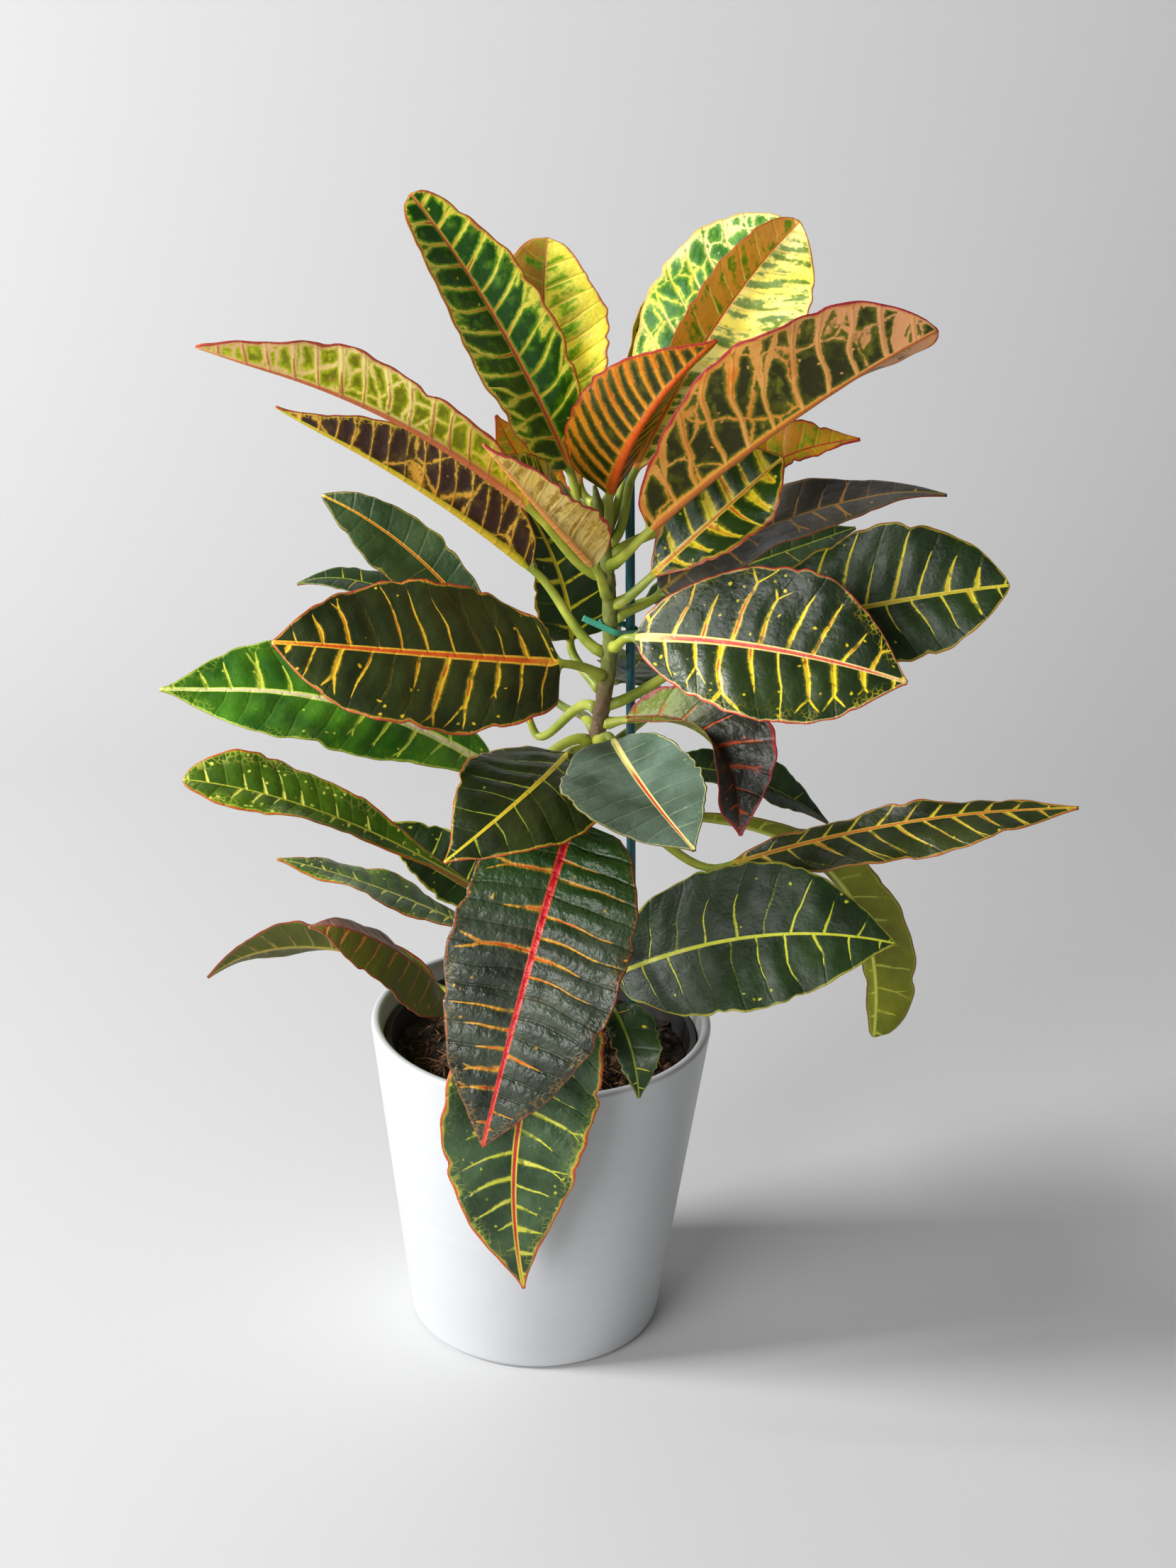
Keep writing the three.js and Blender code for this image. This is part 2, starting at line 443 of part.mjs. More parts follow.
const part = new THREE.Group();
part.name = "potted_croton";
part.add(meshOf("pot", solidGeometry(potSolid()), MATERIALS.glaze));
part.add(meshOf("grow_pot", solidGeometry(growPotSolid()), MATERIALS.blackPlastic));
part.add(meshOf("soil", solidGeometry(soilSolid()), MATERIALS.soil));
const stem = tube(STEM_PATH.map(vec), STEM_RADII, STEM_SIDES);
part.add(meshOf("stem", geometryOf(stem.points, stem.triangles), MATERIALS.bark));
const stake = tube([vec(STAKE.foot), vec(STAKE.top)], [STAKE.radius, STAKE.radius], STAKE_SIDES);
part.add(meshOf("stake", geometryOf(stake.points, stake.triangles), MATERIALS.stake));
part.add(meshOf("tie", solidGeometry(tieSolid()), MATERIALS.tie));
LEAVES.forEach((leaf, i) => {
  const { points, triangles } = leafSkin(leaf);
  const name = `leaf_${String(i + 1).padStart(2, "0")}`;
  part.add(meshOf(name, geometryOf(points, triangles), leafMaterials[leaf.tone]));
});

export default part;
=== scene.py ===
"""A potted croton: the dressed plant, pots, soil, stake and tie, built round the fixed frame, with its studio."""

import json
import logging
import math
from dataclasses import dataclass
from enum import Enum
from functools import cache, partial
from typing import Sequence

import bpy
import numpy as np
from mathutils import Matrix, Vector


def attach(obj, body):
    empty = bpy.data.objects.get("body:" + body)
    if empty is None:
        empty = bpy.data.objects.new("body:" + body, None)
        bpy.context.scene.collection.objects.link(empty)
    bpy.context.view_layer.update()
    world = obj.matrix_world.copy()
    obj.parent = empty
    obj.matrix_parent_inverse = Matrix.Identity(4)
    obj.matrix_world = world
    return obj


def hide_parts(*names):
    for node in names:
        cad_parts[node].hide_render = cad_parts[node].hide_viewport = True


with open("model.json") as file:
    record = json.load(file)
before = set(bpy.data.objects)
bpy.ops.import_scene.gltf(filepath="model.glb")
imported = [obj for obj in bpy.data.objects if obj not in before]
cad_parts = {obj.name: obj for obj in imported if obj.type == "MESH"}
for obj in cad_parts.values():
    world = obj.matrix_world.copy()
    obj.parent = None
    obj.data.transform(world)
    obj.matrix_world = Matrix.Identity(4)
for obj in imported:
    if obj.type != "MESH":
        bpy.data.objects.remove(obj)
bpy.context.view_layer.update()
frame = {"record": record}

log = logging.getLogger("potted_croton")

MM = 0.001
SEED = 41
# How far the side veins of the right half run ahead of those of the left half, as a share of their spacing.
SIDE_SHIFT = 0.27
SMOOTH = {"interpolation_type": "SMOOTHSTEP"}
RGBA = {"out": 2, "data_type": "RGBA"}

Piece = bpy.types.Object
Material = bpy.types.Material
Tree = bpy.types.NodeTree
Socket = bpy.types.NodeSocket
Point = tuple[float, float, float]


def linear(colour: str) -> tuple[float, float, float, float]:
    """Turn an sRGB hex colour into linear RGBA.

    Args:
        colour: The colour as "#rrggbb".

    Returns:
        Linear red, green, blue and a full alpha.
    """
    shares = [int(colour[i : i + 2], 16) / 255 for i in (1, 3, 5)]
    red, green, blue = (c / 12.92 if c <= 0.04045 else ((c + 0.055) / 1.055) ** 2.4 for c in shares)
    return red, green, blue, 1.0


def unit(vectors: np.ndarray) -> np.ndarray:
    """Scale vectors along the last axis to length one."""
    return vectors / np.maximum(np.linalg.norm(vectors, axis=-1, keepdims=True), 1e-12)


def ease(share: np.ndarray) -> np.ndarray:
    """Smooth step from 0 to 1: three times the square less twice the cube."""
    share = np.clip(share, 0, 1)
    return share * share * (3 - 2 * share)


def turns(count: int) -> np.ndarray:
    """Evenly spaced angles of one full turn."""
    return np.linspace(0, 2 * np.pi, count, endpoint=False)


def spokes(across: np.ndarray, third: np.ndarray, angle: np.ndarray) -> np.ndarray:
    """Directions round an axis: across cos t + third sin t for each angle t, as (..., angles, 3)."""
    return across[..., None, :] * np.cos(angle)[:, None] + third[..., None, :] * np.sin(angle)[:, None]


def steps_along(line: np.ndarray) -> np.ndarray:
    """Distance of each point of a line from its first, measured along it."""
    return np.concatenate([[0], np.cumsum(np.linalg.norm(np.diff(line, axis=0), axis=1))])


def ring_faces(rings: int, size: int) -> np.ndarray:
    """Quads between closed rings of points, one row of quads for each pair of rings.

    Args:
        rings: How many rings.
        size: Points in each ring.

    Returns:
        Vertex numbers of the quads, as (n, 4).
    """
    row = np.arange(rings - 1)[:, None] * size
    here = np.arange(size)[None, :]
    following = (here + 1) % size
    return np.stack([row + here, row + following, row + size + following, row + size + here], -1).reshape(-1, 4)


def make_mesh(name: str, points_mm: np.ndarray, faces: Sequence[Sequence[int]], smooth: bool = True) -> Piece:
    """Make an object at the origin from points in millimetres, with its faces turned outward.

    The signed volume, one sixth of the sum of a . (b x c) over a fan of each face, tells which way they point.

    Args:
        name: Name of the piece.
        points_mm: Points as (..., 3).
        faces: Vertex numbers of each face.
        smooth: Whether the faces are shaded smooth.

    Returns:
        The new object, linked to the scene.
    """
    mesh = bpy.data.meshes.new(name)
    points = np.asarray(points_mm, float).reshape(-1, 3)
    volume = 0.0
    by_size: dict[int, list[Sequence[int]]] = {}
    for face in faces:
        by_size.setdefault(len(face), []).append(face)
    for size, group in by_size.items():
        corners = points[np.asarray(group)]
        for i in range(1, size - 1):
            volume += np.einsum("ij,ij->", corners[:, 0], np.cross(corners[:, i], corners[:, i + 1]))
    if volume < 0:
        faces = [tuple(face)[::-1] for face in faces]
    mesh.from_pydata((points * MM).tolist(), [], [tuple(int(i) for i in face) for face in faces])
    mesh.polygons.foreach_set("use_smooth", np.full(len(mesh.polygons), smooth))
    mesh.update()
    piece = bpy.data.objects.new(name, mesh)
    bpy.context.scene.collection.objects.link(piece)
    return piece


def loft(name: str, rings: np.ndarray, first: Sequence[float], last: Sequence[float]) -> Piece:
    """Join closed rings of points by quads and close each end by a fan round one more point.

    Args:
        name: Name of the piece.
        rings: Points in millimetres as (rings, points of a ring, 3).
        first: Middle of the fan on the first ring.
        last: Middle of the fan on the last ring.

    Returns:
        The closed solid.
    """
    count, size = rings.shape[:2]
    around = np.arange(size)
    following = (around + 1) % size
    middle, end = np.full(size, count * size), (count - 1) * size
    first_fan = np.stack([middle, following, around], axis=1)
    last_fan = np.stack([middle + 1, end + around, end + following], axis=1)
    points = np.vstack([rings.reshape(-1, 3), first, last])
    return make_mesh(name, points, ring_faces(count, size).tolist() + first_fan.tolist() + last_fan.tolist())


def revolve(name: str, profile: Sequence[tuple[float, float]], sides: int) -> Piece:
    """Turn a profile round the Z axis: a point (r, z) at angle t goes to (r cos t, r sin t, z).

    Args:
        name: Name of the piece.
        profile: Points (radius, height) in millimetres; the first and last lie on the axis.
        sides: Steps round the axis.

    Returns:
        The closed solid.
    """
    radius, height = np.asarray(profile[1:-1], float)[:, :, None].transpose(1, 0, 2)
    angle = turns(sides)
    rings = np.stack([radius * np.cos(angle), radius * np.sin(angle), height + 0 * angle], axis=-1)
    return loft(name, rings, (0, 0, profile[0][1]), (0, 0, profile[-1][1]))


def rounded(profile: Sequence[Point], steps: int = 8) -> list[tuple[float, float]]:
    """Round the corners of a profile: each corner with a radius becomes an arc that touches both its legs.

    Args:
        profile: Points (r, z, radius of the corner), radius 0 for a sharp point.
        steps: Parts of each arc.

    Returns:
        Points (r, z).
    """
    out: list[tuple[float, float]] = []
    for i, (r, z, bend) in enumerate(profile):
        here = np.array([r, z])
        if bend == 0:
            out.append((r, z))
            continue
        before = unit(np.array(profile[i - 1][:2]) - here)
        after = unit(np.array(profile[i + 1][:2]) - here)
        half = math.acos(float(np.clip(before @ after, -1, 1))) / 2
        centre = here + unit(before + after) * bend / math.sin(half)
        start = here + before * bend / math.tan(half) - centre
        stop = here + after * bend / math.tan(half) - centre
        share = np.linspace(0, 1, steps + 1)[:, None]
        swing = math.pi - 2 * half
        arc = (np.sin((1 - share) * swing) * start + np.sin(share * swing) * stop) / math.sin(swing)
        out += [tuple(p) for p in centre + arc]
    return out


def waves(points: np.ndarray, lengths: tuple[float, float], count: int, seed: int) -> np.ndarray:
    """Smooth uneven height: the mean of cosines that run in random directions, with random phases.

    Args:
        points: Places in millimetres as (..., k).
        lengths: Shortest and longest wave in millimetres.
        count: How many waves.
        seed: Seed of the random draw.

    Returns:
        Heights of about -1 to 1.
    """
    draw = np.random.default_rng(seed)
    ways = unit(draw.normal(size=(count, points.shape[-1])))
    ways *= 2 * np.pi / draw.uniform(*lengths, size=(count, 1))
    phases = draw.uniform(0, 2 * np.pi, count)
    return np.cos(points @ ways.T + phases).sum(-1) / math.sqrt(count / 2)


def add_node(
    tree: Tree, kind: str, feeds: Sequence | dict = (), out: int | str = 0, **settings: object
) -> "Socket | None":
    """Add a shader node with its settings and links.

    Args:
        tree: The material's node tree.
        kind: Node type without the "ShaderNode" in front, then its operation, if any, as in "Math ADD".
        feeds: Values or sockets for the inputs, in order or by number or name; None leaves an input as it is.
        out: Which output to give back.
        settings: Properties of the node.

    Returns:
        The output socket asked for, if the node has any.
    """
    kind, _, operation = kind.partition(" ")
    if operation:
        settings["operation"] = operation
    node = tree.nodes.new("ShaderNode" + kind)
    for key, value in settings.items():
        setattr(node, key, value)
    pairs = feeds.items() if isinstance(feeds, dict) else enumerate(feeds)
    for key, value in pairs:
        if isinstance(value, Socket):
            tree.links.new(value, node.inputs[key])
        elif value is not None:
            node.inputs[key].default_value = value
    return node.outputs[out] if node.outputs else None


def new_material(name: str) -> tuple[Material, Tree]:
    """Make an empty material with a node tree.

    Args:
        name: The real material and how its surface was made.

    Returns:
        The material and its tree.
    """
    material = bpy.data.materials.new(name)
    material.use_nodes = True
    material.node_tree.nodes.clear()
    return material, material.node_tree


def close_material(
    tree: Tree,
    colour: "tuple | Socket",
    roughness: "float | Socket",
    bump: "Socket | None" = None,
    bump_mm: float = 0.1,
    **sockets: float,
) -> None:
    """Finish a material with one principled shader.

    Args:
        tree: The material's node tree.
        colour: Base colour.
        roughness: Roughness.
        bump: Height field of 0 to 1, or none.
        bump_mm: How high 1 stands, in millimetres.
        sockets: Other sockets of the shader by name, with "_" for a space.
    """
    feeds = {"Base Color": colour, "Roughness": roughness}
    feeds.update({key.replace("_", " "): value for key, value in sockets.items()})
    if bump is not None:
        feeds["Normal"] = add_node(tree, "Bump", {"Distance": bump_mm * MM, "Height": bump, "Strength": 1.0})
    add_node(tree, "OutputMaterial", [add_node(tree, "BsdfPrincipled", feeds)])


def dress(piece: Piece, material: Material, slot: str, *nodes: str) -> Piece:
    """Give a piece its material, hang it on the frame's root body and hide the CAD nodes it stands for.

    Args:
        piece: The piece, in place.
        material: Its material.
        slot: Material slot of the record; not used.
        nodes: CAD nodes it replaces; loose crumbs and fibres have none.

    Returns:
        The piece.
    """
    piece.data.materials.append(material)
    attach(piece, "root")
    if nodes:
        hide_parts(*nodes)
    return piece


@dataclass(frozen=True)
class Finish:
    """A plain material: two tones in patches on Object coordinates, with a fine grain in relief.

    patch and grain are sizes, and bump a height, in millimetres. share gives the span of the patches' noise and
    the light tone's share at its ends. stretch draws the patches out; without a grain they stand in relief.
    """

    name: str
    dark: str
    light: str
    patch: float
    detail: float
    share: tuple[float, float, float, float]
    roughness: float
    bump: float
    grain: float = 0.0
    grain_detail: float = 3.0
    stretch: Point = (1.0, 1.0, 1.0)
    eased: bool = False
    coat: float = 0.0

    @cache
    def material(self) -> Material:
        """Mix the two tones by the patches; made once for each finish.

        Returns:
            The material.
        """
        material, tree = new_material(self.name)
        place = add_node(tree, "TexCoord", out="Object")
        drawn = add_node(tree, "Mapping", {"Vector": place, "Scale": self.stretch})
        noise = {"Vector": drawn, "Scale": 1 / (self.patch * MM), "Detail": self.detail}
        patches = relief = add_node(tree, "TexNoise", noise)
        share = add_node(tree, "MapRange", [patches, *self.share], **(SMOOTH if self.eased else {}))
        colour = add_node(tree, "Mix", {0: share, 6: linear(self.dark), 7: linear(self.light)}, **RGBA)
        if self.grain:
            noise = {"Vector": place, "Scale": 1 / (self.grain * MM), "Detail": self.grain_detail}
            relief = add_node(tree, "TexNoise", noise)
        coat = {"Coat_Weight": self.coat, "Coat_Roughness": 0.3}
        close_material(tree, colour, self.roughness, relief, self.bump, **coat)
        return material


# Spans of the patches' noise, and the light tone's share at their ends.
EVEN = (0.35, 0.65, 0.0, 1.0)
BROKEN = (0.38, 0.66, 0.0, 1.0)
# Living stalk: smooth and yellow-green, paler where the light has reached it.
STALK = Finish("croton_stalk_yellow_green_smooth", "#75861f", "#b3b845", 18, 3, EVEN, 0.42, 0.06, 1.5)
# Matt white glaze dipped over earthenware: a soft sheen, and faint rings left by turning.
GLAZE = Finish(
    "earthenware_matt_white_glaze_dipped", "#bcbec1", "#c2c4c6", 5, 2, (0.3, 0.7, 0.3, 0.7), 0.42, 0.01, 1.4,
    stretch=(0.15, 0.15, 1.0), coat=0.15,
)
# Moulded polypropylene: dull black, with dried soil in patches.
GROW_POT = Finish(
    "polypropylene_black_moulded", "#17181a", "#3a2f26", 9, 4, (0.5, 0.7, 0.0, 0.5), 0.5, 0.05, 0.8, 2
)
# Loose organic matter: no gloss and broken colour, darker where it is moist.
EARTH = Finish("coir_and_peat_moist_loose", "#15100c", "#3b2a1d", 3, 6, BROKEN, 0.95, 0.5, 0.9, 4, eased=True)
CRUMBS = Finish("bark_and_peat_crumbs_crushed", "#1d140e", "#6b4a33", 8, 6, BROKEN, 0.95, 0.5, 0.9, 4, eased=True)
FIBRES = Finish("coir_fibre_teased", "#5a3826", "#a87a52", 5, 6, BROKEN, 0.95, 0.5, 0.9, 4, eased=True)
# Polyethylene drawn over a steel rod: an even satin skin with faint streaks along it.
ROD_SKIN = Finish(
    "polyethylene_dark_teal_coated_rod", "#12424a", "#1f6068", 1.5, 3, EVEN, 0.38, 0.06,
    stretch=(1.0, 1.0, 0.1),
)
# Extruded soft vinyl: slightly cloudy and waxy.
STRAP = Finish("soft_vinyl_teal_green_extruded", "#2a8468", "#46a488", 3, 2, (0.0, 1.0, 0.0, 1.0), 0.35, 0.05)


@dataclass(frozen=True)
class Panels:
    """A leaf's dark islands: a noise drawn out along the side veins and cut back near vein, rib and rim.

    dark: an island's heart; light: its edge; share: how much they cover; vein_gap, rib_gap, rim_gap: clear strips
    in millimetres; cell: their size in millimetres; draw: their narrowing along the vein; outer_fade, tip_fade:
    share lost toward the margin and the tip; net: cells in millimetres that split them, or 0.
    """

    dark: str
    light: str
    share: float
    vein_gap: float
    rib_gap: float
    rim_gap: float
    cell: float
    draw: float
    outer_fade: float = 0.0
    tip_fade: float = 0.0
    net: float = 0.0


@dataclass(frozen=True)
class LeafFinish:
    """Croton leaf skin: a waxy cuticle over coloured tissue, so a broad soft gloss over sharp colour.

    Colours are hex values and widths millimetres. vein_reach: share of the half width that side veins cross;
    vein_share: how many show; fork: how far their branches open; bulge: 0 for spikes to 1 for blobs; core_from:
    share of the length where the midrib's core starts; rib_tint, base_tint: broad tints, if any;
    tip_tint_and_light:
    a broad tint toward the tip, if any, on the copper back partly painted light; left_shade_and_tint: a wash over
    the left half, if any, painted shade on the sunny and two-tone finishes and the leaf's own olive on the plum
    one;
    speckle, lace: how many dots and how strong a net; panels: dark islands, if any.
    """

    name: str
    blade: str
    blade_light: str
    vein: str
    vein_core: str
    midrib: str
    midrib_edge: str
    margin: str
    vein_width: float
    midrib_width: float
    margin_width: float
    vein_reach: float = 0.8
    vein_share: float = 1.0
    fork: float = 0.3
    bulge: float = 0.0
    core_from: float = 0.05
    rib_tint: str = ""
    tip_tint_and_light: str = ""
    base_tint: str = ""
    left_shade_and_tint: str = ""
    speckle: float = 0.05
    lace: float = 0.0
    roughness: float = 0.36
    bump_mm: float = 0.25
    panels: "Panels | None" = None


UPPER_DEEP = LeafFinish(
    "croton_leaf_deep_green_waxy", "#1c2b15", "#2f4422", "#cfc22c", "#c8742a", "#9a9a34", "#5f7a2a", "#5a6422",
    0.8, 1.8, 0.4, vein_share=0.35, speckle=0.03,
)
UPPER_FORKED = LeafFinish(
    "croton_leaf_dark_forked_veins_waxy", "#15240c", "#2c3d1a", "#f0dc2a", "#e0602a", "#dc5c4c", "#f0d884",
    "#c03a2c", 1.7, 4.0, 0.7, vein_reach=1.1, fork=0.8, bulge=0.2, core_from=0.12, speckle=0.17, lace=0.4,
)
UPPER_BLAZED = LeafFinish(
    "croton_leaf_dark_orange_blazed_waxy", "#1d260e", "#343f1a", "#f2c830", "#d0641e", "#dc5a20", "#f0b83a",
    "#b8402a", 1.5, 4.4, 0.7, vein_reach=0.85, vein_share=0.9, fork=0.4, bulge=0.4, speckle=0.07,
)
UPPER_YELLOW = LeafFinish(
    "croton_leaf_dark_yellow_veins_waxy", "#15270a", "#294012", "#e6d828", "#d8b428", "#d8b42a", "#dcd23a",
    "#b06a2a", 1.4, 3.2, 0.6, vein_reach=0.9, vein_share=0.92, fork=0.0, roughness=0.44,
)
UPPER_GILDED = LeafFinish(
    "croton_leaf_green_wide_gold_veins_waxy", "#17300a", "#2c4a0f", "#f0e02a", "#d8542a", "#d8842c", "#e4c83a",
    "#a84428", 2.7, 3.6, 1.2, vein_reach=0.95, speckle=0.15,
)
UPPER_ORANGE_RIB = LeafFinish(
    "croton_leaf_dark_orange_midrib_waxy", "#28401c", "#4a6238", "#6f7e2c", "#8a8a2c", "#dc5a20", "#ecc040",
    "#43521e", 0.6, 2.6, 0.4, vein_share=0.15, speckle=0.04,
)
UPPER_GOLD_RIB = LeafFinish(
    "croton_leaf_dark_gold_midrib_waxy", "#172109", "#2a3411", "#8a9c2a", "#a8a42c", "#cfa826", "#c8c034",
    "#b04a22", 0.7, 2.6, 0.7, vein_share=0.8, fork=0.0,
)
UPPER_CREAM_RIB = LeafFinish(
    "croton_leaf_grey_green_cream_midrib_waxy", "#3a4d3a", "#617766", "#7d8c62", "#77885c", "#c8382c",
    "#ecdf86", "#38462c", 0.4, 3.6, 0.4, vein_share=0.9, core_from=0.3, speckle=0.08, lace=0.25,
)
UPPER_RED_EDGED = LeafFinish(
    "croton_leaf_dark_red_edged_waxy", "#242512", "#3f3d38", "#c85a1c", "#c8341c", "#b01c2a", "#8a3a24",
    "#a8283a", 1.4, 2.4, 0.9, vein_reach=0.7, vein_share=0.7, base_tint="#8a9a34", roughness=0.3, bump_mm=0.3,
)
UPPER_RED_RIB = LeafFinish(
    "croton_leaf_grey_green_red_midrib_waxy", "#263f1e", "#4c6740", "#ccd03c", "#dcd860", "#c8302c", "#e0cc3c",
    "#c8481e", 2.0, 4.2, 1.0, vein_reach=0.75, vein_share=0.85, fork=0.5, speckle=0.14, lace=0.45, bump_mm=0.4,
)
UPPER_QUILTED = LeafFinish(
    "croton_leaf_slate_green_red_midrib_waxy", "#20281c", "#474f40", "#c8962c", "#d83c1a", "#c41c34", "#d84e2c",
    "#3a4a24", 2.0, 4.0, 0.5, vein_reach=0.85, vein_share=0.5, base_tint="#2c4c1c", lace=0.25, roughness=0.3,
    bump_mm=0.7,
)
UPPER_BRIGHT = LeafFinish(
    "croton_leaf_bright_green_waxy", "#2a5a12", "#528d1c", "#d2e04c", "#b8d840", "#f0e0b0", "#dcec70",
    "#9aa82c", 2.0, 4.4, 0.5, vein_share=0.5, speckle=0.08, lace=0.3,
)
UPPER_SPECKLED = LeafFinish(
    "croton_leaf_green_speckled_waxy", "#2f4f0c", "#5a7d19", "#f2f068", "#ecec60", "#d8cc4a", "#b4c23a",
    "#c8581e", 1.6, 2.0, 0.8, vein_reach=0.55, vein_share=0.6, fork=0.4, speckle=0.42, lace=0.4,
)
UPPER_NETTED = LeafFinish(
    "croton_leaf_green_yellow_net_waxy", "#fff060", "#f0e64c", "#f8e050", "#cf6a2c", "#bf4a34", "#dc8c40",
    "#b8602c", 1.2, 3.2, 0.9, fork=0.5, rib_tint="#dc8a26", panels=Panels("#1d4d07", "#6ca612", 0.86, 0.75, 1.4,
    1.2, 11.0, 0.5, 0.2, 0.1),
)
# The darker orange wash over the left half is painted shade of the half turned from the light.
UPPER_SUNNY = LeafFinish(
    "young_croton_leaf_yellow_green_islands_satin", "#f4e22a", "#f8ec58", "#ecd448", "#e0a840", "#d8623a",
    "#e8c05a", "#d0784a", 0.9, 2.6, 0.8, fork=0.4, left_shade_and_tint="#c8882c", roughness=0.42, panels=Panels("#41860b",
    "#9dc416", 0.52, 0.9, 1.8, 3.5, 4.6, 0.35, 0.45),
)
UPPER_MOSAIC = LeafFinish(
    "young_croton_leaf_cream_net_satin", "#e8e650", "#f4f09c", "#e8e08a", "#e8c890", "#dc9a5a", "#ece08a",
    "#d8b040", 1.0, 2.8, 0.7, fork=0.5, roughness=0.42, panels=Panels("#30750c", "#66a31d", 0.85, 0.7, 2.4, 1.5,
    5.5, 0.6, net=9.0),
)
# The orange wash over the left half is painted shade of the half turned from the light.
UPPER_TWO_TONE = LeafFinish(
    "young_croton_leaf_pale_yellow_streaks_satin", "#f6e24e", "#faf08c", "#f0d868", "#dca04a", "#cf5a1e",
    "#e8a040", "#d0782c", 0.9, 3.2, 0.7, left_shade_and_tint="#e08420", roughness=0.42, panels=Panels("#336008",
    "#748c12", 0.46, 0.2, 1.4, 1.8, 3.6, 0.25, 0.1),
)
UPPER_ORANGE = LeafFinish(
    "young_croton_leaf_orange_satin", "#d87a1c", "#e0a428", "#e0a82c", "#e0a02c", "#b8341e", "#dc8428",
    "#b83a1c", 1.0, 2.6, 0.7, vein_share=0.9, roughness=0.4, panels=Panels("#3e5008", "#a5aa17", 0.5, 0.3, 1.2,
    1.8, 4.0, 0.5),
)
UPPER_PALE = LeafFinish(
    "croton_leaf_pale_green_satin", "#70801a", "#959a23", "#a8bf5a", "#b6c864", "#c2cf6a", "#a0b850", "#a8a83a",
    0.8, 2.0, 0.4, vein_share=0.8,
)
UPPER_SMOKY = LeafFinish(
    "croton_leaf_smoky_green_waxy", "#2f2f28", "#534e45", "#b88a34", "#c06428", "#a8782c", "#8a7a34", "#6a3a2c",
    1.5, 2.4, 0.6, vein_share=0.7, fork=0.4,
)
UPPER_CHEVRON = LeafFinish(
    "croton_leaf_green_gold_chevrons_waxy", "#1b250c", "#333c16", "#d2c030", "#c8642a", "#c86428", "#c0a82e",
    "#a84c28", 1.5, 2.6, 0.5, vein_reach=0.9, fork=0.25,
)
UPPER_LONG = LeafFinish(
    "croton_leaf_green_yellow_midrib_waxy", "#16270a", "#223a0e", "#ccd22c", "#c8cc30", "#cfc834", "#b4be32",
    "#a0902c", 0.9, 2.2, 0.5, vein_reach=0.75, vein_share=0.65, fork=0.0, speckle=0.06, roughness=0.5,
)
UPPER_PLUM = LeafFinish(
    "croton_leaf_plum_brown_satin", "#6a3f3a", "#87564a", "#c08038", "#b8562c", "#a03428", "#8a5a2c", "#8a2c22",
    1.3, 2.0, 0.6, vein_share=0.95, left_shade_and_tint="#5d6414", roughness=0.42,
)
UNDER_OLIVE = LeafFinish(
    "croton_leaf_back_olive_satin", "#5f620c", "#828617", "#a8ae3a", "#a8ac40", "#bcc050", "#98a040", "#7a5a24",
    1.0, 3.0, 0.7, roughness=0.5,
)
UNDER_DARK = LeafFinish(
    "croton_leaf_back_purple_green_satin", "#39400a", "#4d5010", "#7a7030", "#8a6a30", "#a08a34", "#7a7430",
    "#8a3424", 1.0, 3.0, 0.7, roughness=0.5,
)
UNDER_SPOTTED = LeafFinish(
    "young_croton_leaf_back_yellow_spotted_satin", "#ccc22c", "#ded84a", "#dcd652", "#dccc4a", "#d8cc4a",
    "#dcd45a", "#c0902c", 1.0, 3.0, 0.7, roughness=0.5, panels=Panels("#36540c", "#496a0f", 0.6, 1.6, 1.6, 1.2,
    5.0, 0.5),
)
# The pink-tan toward the tip is partly the leaf's own colour and partly painted light where the tip stood lit.
UNDER_COPPER = LeafFinish(
    "young_croton_leaf_back_copper_satin", "#c87418", "#e4a650", "#d69a50", "#dca860", "#a8642c", "#bc6420",
    "#9a1c30", 0.9, 3.0, 1.1, fork=0.25, rib_tint="#cf8f2a", tip_tint_and_light="#d89868", speckle=0.2, roughness=0.45,
    panels=Panels("#2c2c04", "#62640b", 0.88, 1.4, 2.6, 2.6, 8.0, 0.6, 0.0, 0.45, 24.0),
)
UNDER_STRIPED = LeafFinish(
    "young_croton_leaf_back_orange_striped_satin", "#cf7212", "#e08e1e", "#d88a20", "#dc9a2c", "#cf5414",
    "#c8601a", "#a82c24", 1.0, 5.0, 0.9, fork=0.0, roughness=0.45, panels=Panels("#2f3004", "#66600f", 1.0, 1.1,
    2.6, 0.8, 20.0, 0.6),
)
UNDER_GOLD = LeafFinish(
    "young_croton_leaf_back_gold_satin", "#f2d862", "#fae388", "#b8763c", "#d8a85a", "#b8643a", "#cf9a5a",
    "#a83c2c", 1.1, 2.6, 1.0, fork=0.0, tip_tint_and_light="#d4a078", base_tint="#d8b83a", speckle=0.3, roughness=0.45,
    panels=Panels("#757908", "#b0b515", 0.88, 1.3, 2.0, 1.8, 6.0, 0.7, 0.0, 0.1, 11.0),
)
UNDER_TAN = LeafFinish(
    "young_croton_leaf_back_tan_satin", "#e2bc58", "#ead28c", "#dcc06a", "#cf9448", "#cf8a48", "#cfa450",
    "#b02c3a", 0.9, 3.0, 1.0, roughness=0.45, panels=Panels("#8a6420", "#b08a34", 0.48, 0.2, 1.6, 1.2, 3.6, 0.2),
)
UNDER_PLUM = LeafFinish(
    "croton_leaf_back_plum_satin", "#c88a30", "#cfa43a", "#cf962a", "#cf7a28", "#c2a42c", "#b8b42c", "#96342a",
    0.7, 3.0, 0.7, vein_share=0.7, fork=0.25, roughness=0.42, panels=Panels("#36211a", "#54401c", 1.15, 0.15,
    0.6, 0.6, 9.0, 0.45, net=20.0),
)


